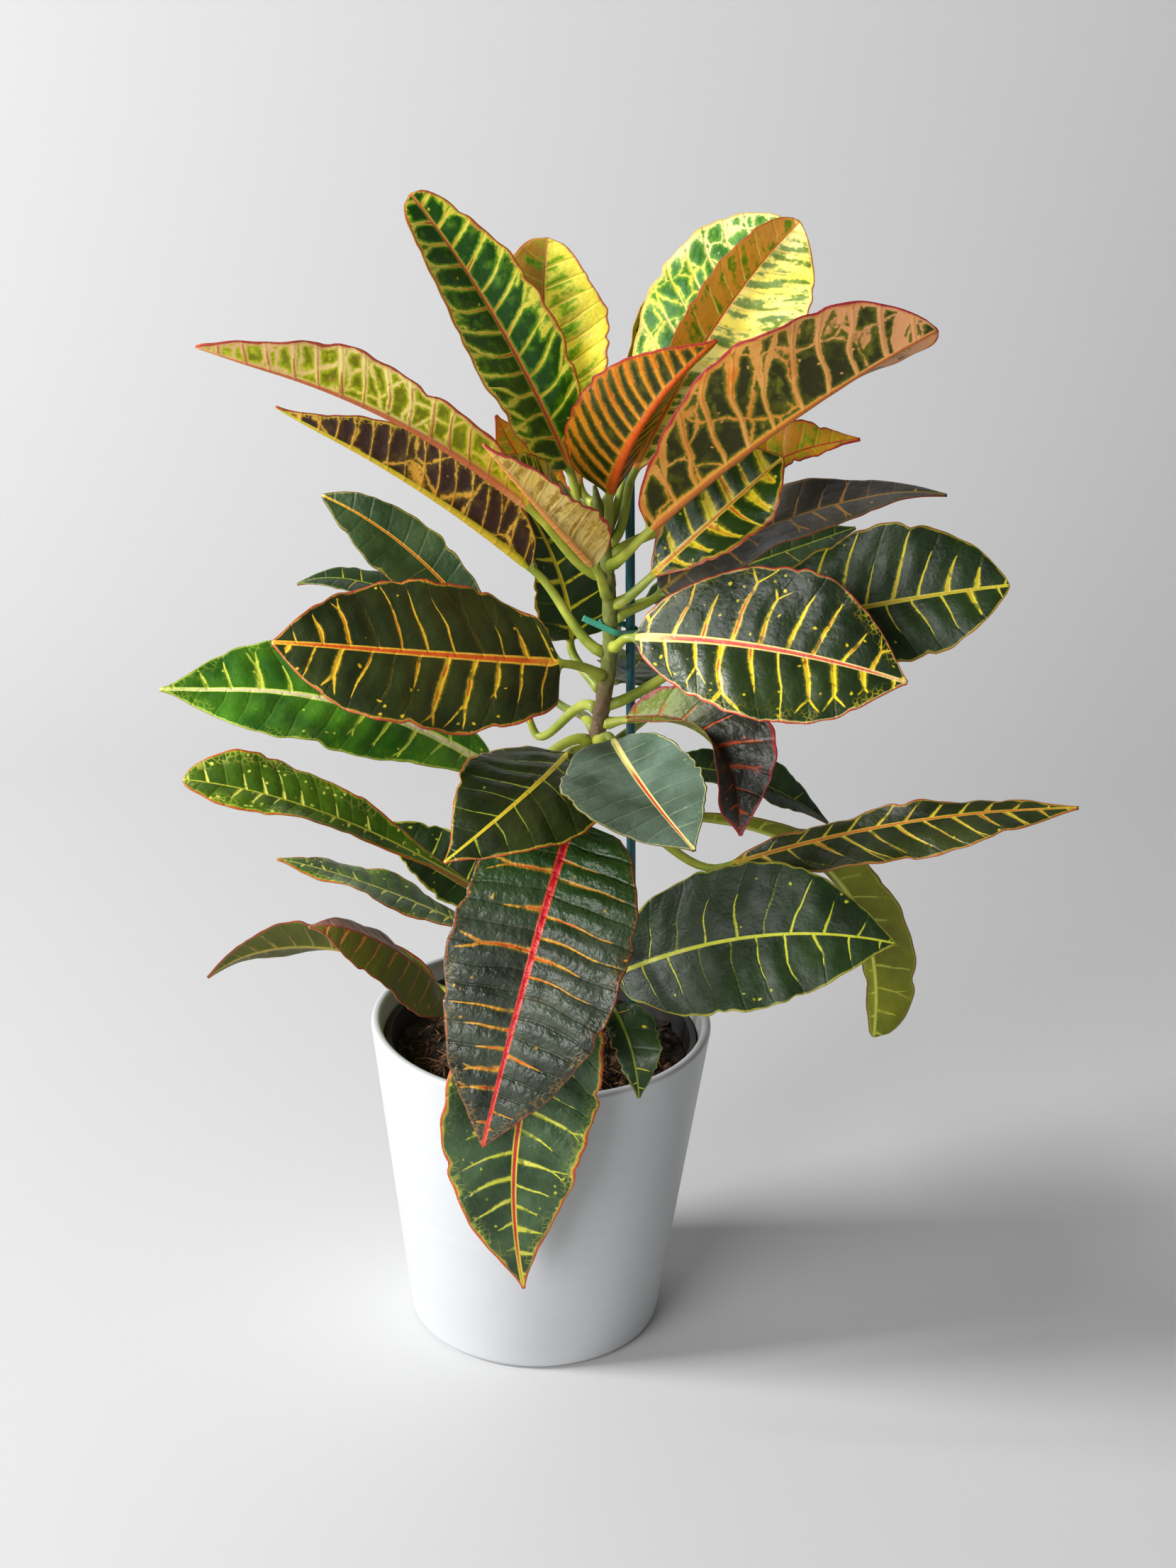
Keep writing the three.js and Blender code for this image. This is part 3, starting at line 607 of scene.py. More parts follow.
class LeafLook(Enum):
    """Finishes of the upper and under sides, then side veins: spacing (mm), slant forward, height of the
    swelling between them (mm).
    """

    NETTED = (UPPER_NETTED, UNDER_OLIVE, 11.5, 0.45, 0.6)
    SUNNY = (UPPER_SUNNY, UNDER_SPOTTED, 10.0, 0.40, 0.4)
    MOSAIC = (UPPER_MOSAIC, UNDER_SPOTTED, 11.5, 0.40, 0.4)
    TWO_TONE = (UPPER_TWO_TONE, UNDER_COPPER, 10.0, 0.45, 0.4)
    COPPER_BACK = (UPPER_NETTED, UNDER_COPPER, 12.0, 0.35, 0.4)
    STRIPED_BACK = (UPPER_TWO_TONE, UNDER_STRIPED, 6.5, 0.45, 0.4)
    GOLD_BACK = (UPPER_NETTED, UNDER_GOLD, 12.0, 0.35, 0.4)
    TAN_BACK = (UPPER_NETTED, UNDER_TAN, 9.0, 0.30, 0.4)
    PLUM_BACK = (UPPER_ORANGE_RIB, UNDER_PLUM, 9.5, 0.35, 0.4)
    YELLOW_RIBBED = (UPPER_YELLOW, UNDER_OLIVE, 12.0, 0.30, 0.6)
    GILDED = (UPPER_GILDED, UNDER_OLIVE, 11.0, 0.30, 0.6)
    ORANGE = (UPPER_ORANGE, UNDER_COPPER, 9.0, 0.35, 0.4)
    SMOKY = (UPPER_SMOKY, UNDER_DARK, 12.0, 0.30, 0.4)
    DEEP = (UPPER_DEEP, UNDER_DARK, 11.5, 0.30, 0.5)
    FORKED = (UPPER_FORKED, UNDER_DARK, 12.0, 0.20, 0.7)
    BLAZED = (UPPER_BLAZED, UNDER_DARK, 11.0, 0.25, 0.6)
    BRIGHT = (UPPER_BRIGHT, UNDER_OLIVE, 13.0, 0.30, 0.8)
    PALE = (UPPER_PALE, UNDER_OLIVE, 10.0, 0.30, 0.3)
    ORANGE_RIB = (UPPER_ORANGE_RIB, UNDER_DARK, 11.5, 0.30, 0.2)
    GOLD_RIB = (UPPER_GOLD_RIB, UNDER_DARK, 11.5, 0.35, 0.6)
    CREAM_RIB = (UPPER_CREAM_RIB, UNDER_OLIVE, 9.5, 0.30, 0.12)
    RED_EDGE_BACK = (UPPER_RED_EDGED, UNDER_OLIVE, 11.5, 0.30, 0.4)
    LONG_GREEN = (UPPER_LONG, UNDER_OLIVE, 13.5, 0.20, 0.6)
    CHEVRON = (UPPER_CHEVRON, UNDER_OLIVE, 14.5, 0.85, 0.6)
    QUILTED = (UPPER_QUILTED, UNDER_DARK, 8.0, 0.08, 1.5)
    RED_RIB = (UPPER_RED_RIB, UNDER_OLIVE, 12.0, 0.30, 0.7)
    SPECKLED = (UPPER_SPECKLED, UNDER_OLIVE, 10.0, 0.35, 0.6)
    PLUM = (UPPER_PLUM, UNDER_OLIVE, 10.0, 0.30, 0.4)

    def __init__(self, upper: LeafFinish, under: LeafFinish, spacing: float, slant: float, swell: float) -> None:
        """Give each part of the option a name."""
        self.upper, self.under = upper, under
        self.spacing, self.slant, self.swell = spacing, slant, swell


@dataclass(frozen=True)
class Leaf:
    """One leaf. Points and widths are in millimetres, angles in degrees, as in the part's source.

    look: finishes; at: height of its stalk on the stem; base, middle, tip: points on the midrib; face: where
    the upper side looks; half: widths left and right of the midrib; fold: degrees that each half rises; widest:
    place of the greatest width; full: how slowly the width dies off; wave: height, number and start of the edge
    waves; turn: degrees of twist from base to tip; hook: how far the end bends toward the upper side; point: the
    same as full, at the very tip.
    """

    look: LeafLook
    at: float
    base: Point
    middle: Point
    tip: Point
    face: Point
    half: tuple[float, float]
    fold: tuple[float, float]
    widest: float
    full: float
    wave: Point = (2, 2, 0)
    turn: float = 0.0
    hook: float = 0.0
    point: float = 1.2


LEAVES = (
    Leaf(LeafLook.NETTED, 386, (7, 2, 417), (-25, -13, 483), (-61, -20, 536),
         (0.25, -0.95, 0.3), (27, 22), (37, 10), 0.42, 0.6, (1.5, 1.5, 0), point=0.5),
    Leaf(LeafLook.ORANGE, 396, (8, 12, 402), (-10, 20, 411), (-26, 20, 437),
         (0.45, -0.75, 0.45), (15, 13), (15, 15), 0.5, 0.8),
    Leaf(LeafLook.SUNNY, 404, (12, 6, 408), (-4, 14, 465), (-5, 12, 515),
         (0, -0.95, 0.3), (27, 28), (15, 10), 0.59, 0.89, (2, 2, 1), point=0.5),
    Leaf(LeafLook.MOSAIC, 400, (32, 40, 413), (53, 48, 479), (93, 46, 522),
         (-0.4, 0.85, 0.3), (22, 17), (10, 10), 0.55, 0.75, (1, 2, 0), point=0.8),
    Leaf(LeafLook.MOSAIC, 391, (32, 20, 413), (60, 26, 479), (94, 26, 524),
         (-0.2, -0.9, 0.35), (25, 26), (5, 10), 0.58, 0.7, (1, 2, 0), point=0.8),
    Leaf(LeafLook.TWO_TONE, 386, (34, 7, 415), (66, 0, 482), (99, -4, 527),
         (-0.3, -0.9, 0.35), (19, 34), (60, 5), 0.63, 0.65, (2, 2.5, 0), point=0.7),
    Leaf(LeafLook.STRIPED_BACK, 394, (24, -9, 410), (38, -24, 448), (65, -34, 483),
         (0.1, 0.9, 0.5), (20, 29), (60, 12), 0.36, 0.75, (2, 1.5, 0)),
    Leaf(LeafLook.COPPER_BACK, 377, (40, -20, 397), (93, -38, 449), (152, -52, 493),
         (-0.3, 0.95, 0.3), (28, 44), (50, 4), 0.58, 0.48, point=0.65),
    Leaf(LeafLook.GOLD_BACK, 372, (-9, -18, 405), (-73, -44, 452), (-144, -58, 477),
         (0, 0.55, 0.83), (19, 21), (55, 42), 0.5, 0.63, hook=2.5, point=0.7),
    Leaf(LeafLook.PLUM_BACK, 336, (-8, 4, 372), (-62, -6, 413), (-118, -12, 444),
         (0, 0.55, 0.83), (22, 19), (58, 42), 0.38, 0.75, (1.5, 2, 0), hook=1.5, point=1.3),
    Leaf(LeafLook.TAN_BACK, 364, (18, -24, 383), (-4, -50, 413), (-29, -62, 444),
         (0.45, 0.5, 0.75), (16, 36), (60, 50), 0.28, 0.75, (2, 1.5, 0)),
    Leaf(LeafLook.GILDED, 359, (43, -5, 373), (71, -4, 401), (98, -2, 427),
         (-0.3, -0.85, 0.45), (27, 21), (12, 18), 0.6, 0.7, point=0.9),
    Leaf(LeafLook.ORANGE, 381, (86, 14, 411), (104, 16, 424), (133, 18, 431),
         (0, -0.6, 0.8), (15, 7), (20, 20), 0.42, 0.8),
    Leaf(LeafLook.SMOKY, 352, (47, 10, 360), (101, 14, 394), (172, 10, 413),
         (0, -0.45, 0.9), (23, 19), (0, 12), 0.37, 0.75, turn=8, hook=-5, point=1.05),
    Leaf(LeafLook.DEEP, 336, (42, 52, 344), (92, 60, 361), (140, 66, 378),
         (0.1, -0.5, 0.85), (20, 20), (10, 10), 0.5, 0.8),
    Leaf(LeafLook.YELLOW_RIBBED, 312, (85, 8, 343), (140, 2, 360), (200, -6, 374),
         (0, -0.85, 0.5), (34, 28), (10, 5), 0.58, 0.55, (2.5, 2, 0), hook=-1.5, point=0.75),
    Leaf(LeafLook.FORKED, 340, (35, -14, 348), (92, -36, 352), (152, -48, 342),
         (0, -0.85, 0.5), (36, 33), (8, 8), 0.54, 0.62, point=1.1),
    Leaf(LeafLook.BLAZED, 326, (6, -16, 336), (-55, -40, 347), (-117, -52, 355),
         (0, -0.75, 0.65), (37, 34), (8, 0), 0.46, 0.41, (2.5, 2, 0), hook=-1.5, point=0.95),
    Leaf(LeafLook.ORANGE_RIB, 308, (-7, 33, 287), (-46, 37, 352), (-104, 35, 396),
         (-0.1, -0.85, 0.5), (17, 14), (14, 15), 0.67, 0.7, hook=-3, point=0.9),
    Leaf(LeafLook.BRIGHT, 294, (-21, -10, 281), (-92, -26, 319), (-167, -34, 323),
         (0, -0.6, 0.8), (27, 28), (8, 12), 0.55, 0.65, (1.5, 2, 0), hook=5, point=1.3),
    Leaf(LeafLook.DEEP, 298, (1, 44, 299), (-60, 54, 340), (-118, 60, 349),
         (0, -0.4, 0.9), (15, 12), (14, 10), 0.5, 0.75, (1.5, 2, 0), hook=-4),
    Leaf(LeafLook.YELLOW_RIBBED, 318, (9, 19, 335), (3, 21, 365), (-14, 27, 398),
         (0.3, -0.8, 0.5), (20, 24), (26, 10), 0.31, 0.8),
    Leaf(LeafLook.GOLD_RIB, 290, (9, -24, 297), (-10, -64, 292), (-42, -92, 273),
         (-0.1, -0.45, 0.9), (32, 32), (-5, 5), 0.38, 0.65, (2, 1.5, 0)),
    Leaf(LeafLook.CREAM_RIB, 296, (28, -26, 305), (42, -76, 300), (60, -122, 294),
         (-0.1, -0.3, 0.95), (25, 36), (25, 12), 0.5, 0.65, (2, 1.5, 0)),
    Leaf(LeafLook.RED_EDGE_BACK, 304, (33, -4, 306), (71, -18, 304), (86, -34, 264),
         (-0.2, 0.1, 1), (24, 24), (60, 30), 0.58, 0.65, turn=60),
    Leaf(LeafLook.PALE, 284, (47, 42, 292), (60, 78, 286), (74, 108, 273),
         (0, -0.3, 0.95), (14, 14), (10, 10), 0.45, 0.8),
    Leaf(LeafLook.DEEP, 322, (30, 40, 309), (39, 68, 305), (47, 92, 307),
         (0, -0.6, 0.8), (16, 16), (10, 10), 0.45, 0.8),
    Leaf(LeafLook.DEEP, 273, (53, 42, 266), (95, 44, 260), (134, 44, 239),
         (0, -0.4, 0.9), (14, 14), (20, 20), 0.5, 0.8),
    Leaf(LeafLook.LONG_GREEN, 280, (59, -2, 260), (135, 0, 230), (156, -8, 151),
         (0.1, 0.8, 0.6), (6, 20), (15, 6), 0.74, 0.36, hook=1.5, point=0.45),
    Leaf(LeafLook.CHEVRON, 264, (81, -18, 242), (159, -34, 272), (231, -46, 285),
         (0, -0.5, 0.85), (9, 21), (15, 5), 0.45, 0.7, (2, 2.5, 0), hook=1.5),
    Leaf(LeafLook.LONG_GREEN, 200, (30, -40, 196), (91, -62, 228), (152, -74, 232),
         (0, -0.75, 0.65), (34, 34), (5, 5), 0.45, 0.7, (2.5, 2, 0), point=1.05),
    Leaf(LeafLook.DEEP, 172, (31, -66, 195), (39, -84, 184), (43, -94, 165),
         (0.1, -0.85, 0.5), (14, 8), (10, 10), 0.4, 0.8),
    Leaf(LeafLook.QUILTED, 256, (12, -44, 276), (-6, -92, 225), (-24, -106, 146),
         (-0.1, -0.9, 0.4), (41, 36), (5, 8), 0.42, 0.5, (2.5, 2, 0), point=1),
    Leaf(LeafLook.RED_RIB, 214, (12, -72, 209), (-9, -94, 149), (-5, -92, 66),
         (0, -0.95, 0.2), (32, 35), (5, 10), 0.38, 0.6),
    Leaf(LeafLook.SPECKLED, 264, (-22, -18, 222), (-91, -40, 270), (-157, -46, 289),
         (0, -0.4, 0.9), (14, 19), (15, 23), 0.72, 0.73, (3, 2, 0.1), point=0.55),
    Leaf(LeafLook.SPECKLED, 248, (-25, -6, 198), (-74, -10, 223), (-121, -14, 239),
         (0, -0.12, 0.98), (15, 16), (8, 0), 0.5, 0.73),
    Leaf(LeafLook.DEEP, 220, (-49, 26, 156), (-107, 30, 175), (-161, 34, 158),
         (0, 0.75, 0.65), (17, 18), (15, 15), 0.45, 0.75, hook=-3),
    Leaf(LeafLook.PLUM, 212, (-38, -20, 164), (-63, -42, 206), (-103, -56, 229),
         (0, 0, 1), (22, 22), (-46, 0), 0.45, 0.7, hook=-4),
    Leaf(LeafLook.DEEP, 329, (40, 50, 318), (71, 86, 307), (105, 116, 296),
         (0, -0.3, 0.95), (21, 21), (10, 10), 0.45, 0.8),
    Leaf(LeafLook.DEEP, 262, (40, 45, 255), (50, 85, 235), (61, 120, 214),
         (0, -0.3, 0.95), (24, 24), (10, 10), 0.45, 0.8),
    Leaf(LeafLook.DEEP, 244, (7, 40, 234), (-14, 80, 213), (-28, 112, 180),
         (0, -0.3, 0.95), (26, 26), (10, 10), 0.45, 0.8),
    Leaf(LeafLook.DEEP, 226, (21, 35, 207), (11, 70, 184), (1, 100, 150),
         (0, -0.3, 0.95), (24, 24), (10, 10), 0.45, 0.8),
    Leaf(LeafLook.LONG_GREEN, 238, (-17, 44, 187), (-48, 52, 208), (-78, 56, 229),
         (0, -0.55, 0.8), (17, 17), (10, 20), 0.5, 0.8),
)


@dataclass
class Stem:
    """The green to corky stem: round rings along a bent axis, with a scar under each stalk.

    Sizes are in millimetres. scar, groove: half angle in radians, distance below the stalk and height.
    """

    path: tuple[Point, ...] = (
        (0, 0, 104), (0, 0, 142), (7, 0, 200), (15, 0, 250), (22, 0, 296), (26, 0, 327), (26.5, 0, 343),
        (25.5, 0, 359), (24, 0, 376), (21.5, 0, 392), (19, 0, 404), (17.5, 0, 412),
    )
    radii: tuple[float, ...] = (4.6, 4.6, 4.2, 3.9, 3.6, 3.4, 3.3, 3.2, 3.1, 2.9, 2.4, 0.8)
    sides: int = 56
    rings: int = 420
    bark_mm: float = 0.22
    scar_mm: float = 0.45
    groove_mm: float = 0.3
    scar: Point = (0.8, 1.5, 2.2)
    groove: Point = (1.1, 4.2, 0.7)
    top_fade: float = 6.0
    cap: float = 0.3
    cork_top: float = 330.0
    cork_fade: float = 60.0

    def place(self, height: float) -> tuple[np.ndarray, float, np.ndarray]:
        """Find the axis point, the radius and the axis direction at a height, straight between path points.

        Args:
            height: Height in millimetres.

        Returns:
            Axis point, radius and direction.
        """
        path, radii = np.array(self.path, float), np.array(self.radii)
        following = max(1, int(np.argmax(path[:, 2] >= height)))
        low, high = path[following - 1], path[following]
        share = (height - low[2]) / (high[2] - low[2])
        radius = radii[following - 1] * (1 - share) + radii[following] * share
        return low + (high - low) * share, float(radius), unit(high - low)

    def build(self, scars: Sequence[tuple[float, float]]) -> Piece:
        """Build the stem: point = axis + radius (across cos t + third sin t), the radius swelling at each scar.

        Args:
            scars: Height of each stalk and the angle where it leaves.

        Returns:
            The stem piece.
        """
        path = np.array(self.path, float)
        heights = np.linspace(path[0, 2], path[-1, 2], self.rings)
        axis = np.stack([np.interp(heights, path[:, 2], path[:, k]) for k in range(3)], axis=1)
        radius = np.interp(heights, path[:, 2], self.radii)
        along = unit(np.gradient(axis, axis=0))
        across = unit(np.cross([0, 1, 0], along))
        angle = turns(self.sides)
        flat = spokes(across, np.cross(along, across), angle)
        surface = axis[:, None] + flat * radius[:, None, None]
        corky = ease((self.cork_top - heights) / self.cork_fade)[:, None]
        swell = waves(surface * [1, 1, 0.5], (1.6, 6), 40, SEED) * self.bark_mm * (0.35 + 0.65 * corky)
        for height, way in scars:
            off = np.angle(np.exp(1j * (angle - way)))[None, :]
            rise = (heights - height)[:, None]
            for high, (wide, below, tall) in ((self.scar_mm, self.scar), (-self.groove_mm, self.groove)):
                swell += high * np.exp(-((off / wide) ** 2) - ((rise + below) / tall) ** 2)
        fade = np.minimum(1, (path[-1, 2] - heights) / self.top_fade)[:, None]
        points = axis[:, None] + flat * (radius[:, None] + swell * fade)[..., None]
        piece = loft("stem_bark", points, axis[0], axis[-1] + along[-1] * self.cap)
        return dress(piece, self.bark(), "bark", "stem")

    def bark(self) -> Material:
        """Living bark: green and smooth near the crown, brown and corky below, with pale pores.

        Returns:
            The material.
        """
        material, tree = new_material("croton_bark_green_to_corky")
        node = partial(add_node, tree)
        place = node("TexCoord", out="Object")
        uneven, fine = (
            node("TexNoise", {"Vector": place, "Scale": 1 / (size * MM), "Detail": detail})
            for size, detail in ((14, 5.0), (2.2, 6.0))
        )
        shift = node("Math MULTIPLY_ADD", [uneven, 0.06, node("SeparateXYZ", [place], out="Z")])
        brown = node("MapRange", [shift, 0.335, 0.375, 1.0, 0.0], **SMOOTH)
        green, cork = (
            node("Mix", {0: fine, 6: linear(dark), 7: linear(light)}, **RGBA)
            for dark, light in (("#434c1c", "#7e8632"), ("#3e2e1c", "#7c6444"))
        )
        skin = node("Mix", {0: brown, 6: green, 7: cork}, **RGBA)
        pores = node("TexVoronoi", {"Vector": place, "Scale": 1 / (3.2 * MM)})
        pore = node("MapRange", [pores, 0.1, 0.2, 0.75, 0.0])
        close_material(tree, node("Mix", {0: pore, 6: skin, 7: linear("#96805c")}, **RGBA), 0.7, fine, 0.35)
        return material


@dataclass
class Foliage:
    """All leaves: each one closed skin of stalk and blade, in rings across the midrib.

    A ring runs over the upper face from the left edge to the right and back under it. Blade station u runs from
    the base, 0, to the tip, 1; place v across it from -1 at the left edge to 1 at the right. Sizes are in
    millimetres.
    """

    stem: Stem
    leaves: tuple[Leaf, ...] = LEAVES
    thickness: float = 0.9
    edge_thickness: float = 0.3
    stem_gap: float = 0.3
    stalk_foot: float = 2.5
    stalk_neck: float = 1.8
    rise: float = 0.5
    tip_half: float = 0.8
    tip_ease: float = 0.75
    wave_shift: float = 2.2
    across_steps: int = 22
    blade_steps: int = 84
    stalk_steps: int = 16
    edge_wobble: float = 0.55
    notch: float = 1.3
    ripple: float = 0.45
    ridge: float = 0.35
    ridge_reach: float = 1.3
    keel_reach: float = 1.9
    usual_half: float = 33.0
    foot_sink: float = 0.6
    foot_flare: float = 0.18
    flare_reach: float = 3.0
    blend_share: float = 0.06

    def midrib(self, leaf: Leaf, u: np.ndarray) -> np.ndarray:
        """Parabola through base, middle and tip, with the last fifth bent toward the upper side.

        Args:
            leaf: The leaf.
            u: Stations along the blade.

        Returns:
            Points in millimetres.
        """
        base, middle, tip = (np.array(p, float) for p in (leaf.base, leaf.middle, leaf.tip))
        u = np.asarray(u)[..., None]
        bend = np.maximum(0, (u - 0.8) / 0.2) ** 2
        line = base * (1 - u) * (1 - 2 * u) + middle * 4 * u * (1 - u) + tip * u * (2 * u - 1)
        return line + unit(np.array(leaf.face)) * leaf.hook * bend

    def directions(self, leaf: Leaf, u: np.ndarray) -> tuple[np.ndarray, np.ndarray, np.ndarray]:
        """Directions at u: along the midrib, right = along x face, up = right x along, turned by the twist.

        Args:
            leaf: The leaf.
            u: Stations along the blade.

        Returns:
            Along, right and up, each (n, 3).
        """
        along = unit(self.midrib(leaf, u + 0.01) - self.midrib(leaf, u - 0.01))
        right = unit(np.cross(along, np.array(leaf.face, float)))
        up = np.cross(right, along)
        turn = (math.radians(leaf.turn) * (u - 0.5))[..., None]
        return along, right * np.cos(turn) + up * np.sin(turn), up * np.cos(turn) - right * np.sin(turn)

    def shape(self, leaf: Leaf, u: np.ndarray) -> np.ndarray:
        """Share of the full width: sin(pi u^q)^p, q putting its top at the widest place, p going full to point.

        Args:
            leaf: The leaf.
            u: Stations along the blade.

        Returns:
            Shares of 0 to 1.
        """
        place = np.clip(u, 0, 1)
        power = math.log(0.5) / math.log(leaf.widest)
        return np.clip(np.sin(np.pi * place**power), 0, 1) ** (leaf.full + (leaf.point - leaf.full) * place**5)

    def half_width(self, leaf: Leaf, u: np.ndarray, v: np.ndarray) -> np.ndarray:
        """Half width = tip half + (side's half - tip half) x shape + the margin's small unevenness.

        That is wobble x (three sines of 3, 7 and 12 waves) less notch x a sine to the 14th, all x shape, with
        their starts drawn from the leaf's base and the side.

        Args:
            leaf: The leaf.
            u: Stations as (n, 1).
            v: Places across as (1, m).

        Returns:
            Half widths as (n, m) in millimetres.
        """
        start = leaf.base[0] * 0.37 + leaf.tip[2] * 0.19 + np.where(v < 0, 0.0, 0.43)
        uneven = sum(np.sin(2 * np.pi * (n * u + start * n)) / (1 + 0.08 * n) for n in (3.3, 7.1, 12.7))
        notch = np.maximum(0, np.sin(2 * np.pi * (3.6 * u + start * 2.3))) ** 14
        width = np.where(v < 0, *leaf.half) - self.tip_half + self.edge_wobble * uneven - self.notch * notch
        return self.tip_half + width * self.shape(leaf, u)

    def blade(self, leaf: Leaf, u: np.ndarray, v: np.ndarray) -> np.ndarray:
        """Middle surface: midrib + right w v cos(fold) + up (w |v| sin(fold) + ripple).

        The ripple is height x shape x v squared x sin(2 pi (count u + start) + shift on the right side).

        Args:
            leaf: The leaf.
            u: Stations as (n,).
            v: Places across as (m,).

        Returns:
            Points as (n, m, 3) in millimetres.
        """
        _, right, up = self.directions(leaf, u)
        rows, places = u[:, None], v[None, :]
        width = self.half_width(leaf, rows, places)
        fold = np.radians(np.where(places < 0, *leaf.fold)) * (1 - self.tip_ease * np.clip(rows, 0, 1) ** 12)
        height, count, start = leaf.wave
        phase = 2 * np.pi * (count * rows + start) + np.where(places < 0, 0, self.wave_shift)
        ripple = height * self.shape(leaf, rows) * places**2 * np.sin(phase)
        lift = width * np.abs(places) * np.sin(fold) + ripple
        side = width * places * np.cos(fold)
        return self.midrib(leaf, u)[:, None] + right[:, None] * side[..., None] + up[:, None] * lift[..., None]

    def places(self) -> np.ndarray:
        """Places across, closer together at the midrib and the edges: w - 0.08 sin(2 pi w), mirrored.

        Returns:
            Places from -1 to 1.
        """
        w = np.linspace(0, 1, self.across_steps + 1)
        half = w - 0.08 * np.sin(2 * np.pi * w)
        return np.concatenate([-half[:0:-1], half])

    def measures(self, leaf: Leaf, seed: int, u: np.ndarray, v: np.ndarray) -> dict[str, np.ndarray]:
        """Distances in millimetres that the finishes read: along, reach from the midrib, rim to the margin.

        The vein number grows along the midrib and is steady along a side vein, which leaves at a slant and curves
        forward: (along - slant x (reach + 0.015 reach squared)) / spacing.

        Args:
            leaf: The leaf.
            seed: The leaf's number.
            u: Stations as (n,).
            v: Places across as (m,).

        Returns:
            Fields by name, each (n, m).
        """
        width = self.half_width(leaf, u[:, None], v[None, :])
        spacing = leaf.look.spacing * (0.6 + 0.4 * max(leaf.half) / self.usual_half)
        reach = np.abs(v)[None, :] * width
        along = np.broadcast_to(steps_along(self.midrib(leaf, u))[:, None], reach.shape)
        wobble = 0.06 * waves(np.stack([along, reach * np.sign(v)[None, :]], -1), (18, 50), 12, SEED + seed)
        fields = (
            (along - leaf.look.slant * (reach + 0.015 * reach**2)) / spacing + wobble, along, u[:, None],
            v[None, :], reach, width - reach, spacing, float(seed),
        )
        return {name: np.broadcast_to(field, reach.shape) for name, field in zip(LeafSkin.MEASURES, fields)}

    def blade_rings(self, leaf: Leaf, seed: int, u: np.ndarray, v: np.ndarray) -> np.ndarray:
        """Closed rings of the blade: both faces stand off the middle surface along its normal.

        Half thickness dies to half the edge's as the square root of 1 - |v|^6. Between side veins the blade
        swells by its look's height x (1 + cos(2 pi vein)) / 2; the midrib is a low ridge above and a keel below.

        Args:
            leaf: The leaf.
            seed: The leaf's number.
            u: Stations as (n,).
            v: Places across as (m,).

        Returns:
            Points as (n, 2 m, 3) in millimetres.
        """
        step = 0.02
        du = self.blade(leaf, u + step, v) - self.blade(leaf, u - step, v)
        dv = self.blade(leaf, u, v + step) - self.blade(leaf, u, v - step)
        normal = unit(np.cross(dv, du))
        middle = self.blade(leaf, u, v)
        fields = self.measures(leaf, seed, u, v)
        size = np.clip(self.half_width(leaf, u[:, None], v[None, :]) / 22, 0, 1.2)
        across, taper = np.abs(v)[None, :], (1 - u)[:, None]
        pillow = 0.5 + 0.5 * np.cos(2 * np.pi * (fields["vein"] + np.where(v < 0, 0.0, SIDE_SHIFT)[None, :]))
        swell = leaf.look.swell * size * pillow * np.sin(np.pi * np.clip(across, 0, 1) ** 0.8)
        swell += self.ripple * size * waves(middle, (14, 40), 24, SEED + 7 * seed) * across
        middle = middle + normal * swell[..., None]
        half = self.edge_thickness / 2 + (self.thickness - self.edge_thickness) / 2 * np.sqrt(1 - across**6)
        ridge = self.ridge * np.exp(-((fields["reach"] / self.ridge_reach) ** 2)) * taper
        keel = (self.stalk_neck * taper + 0.1) * np.exp(-((fields["reach"] / self.keel_reach) ** 2))
        top = middle + normal * (half + ridge)[..., None]
        under = middle - normal * (half + keel)[..., None]
        return np.concatenate([top, under[:, ::-1]], axis=1)

    def stalk_rings(self, leaf: Leaf, v: np.ndarray) -> np.ndarray:
        """Round rings of the stalk on a cubic curve from the stem to the blade's base.

        The curve leaves the stem outward and a little upward and arrives along the midrib. Rings keep the
        blade's sideways direction, carried back along the curve. The foot swells into the stem.

        Args:
            leaf: The leaf.
            v: Places across that the ring's points match.

        Returns:
            Points as (stalk steps, 2 m, 3) in millimetres.
        """
        point, radius, axis = self.stem.place(leaf.at)
        base = np.array(leaf.base, float)
        away = base - point
        out = unit(away - axis * (away @ axis))
        foot = point + out * (radius + self.stem_gap)
        first = unit(out + axis * self.rise)
        along, right, _ = (d[0] for d in self.directions(leaf, np.array([0.0])))
        reach = np.linalg.norm(base - foot)
        t = np.linspace(0, 1, self.stalk_steps)
        s = t[:, None]
        line = foot * (1 + 2 * s) * (1 - s) ** 2 + first * reach * s * (1 - s) ** 2
        line = line + base * s * s * (3 - 2 * s) + along * reach * s * s * (s - 1)
        heading = unit(np.gradient(line, axis=0))
        heading[0] = out
        sides = [right]
        for way in heading[::-1]:
            sides.append(unit(sides[-1] - way * (way @ sides[-1])))
        side = np.array(sides[:0:-1])
        line[0] -= out * (self.stem_gap + self.foot_sink)
        thick = min(self.stalk_foot, 0.8 * radius) * (1 - t) + self.stalk_neck * t
        thick = thick * (1 + self.foot_flare * np.exp(-((t * reach / self.flare_reach) ** 2)))
        angle = np.radians(90 - v * (90 - 90 / len(v)))
        ring = spokes(side, np.cross(side, heading), np.concatenate([angle, -angle[::-1]]))
        return line[:, None] + ring * thick[:, None, None]

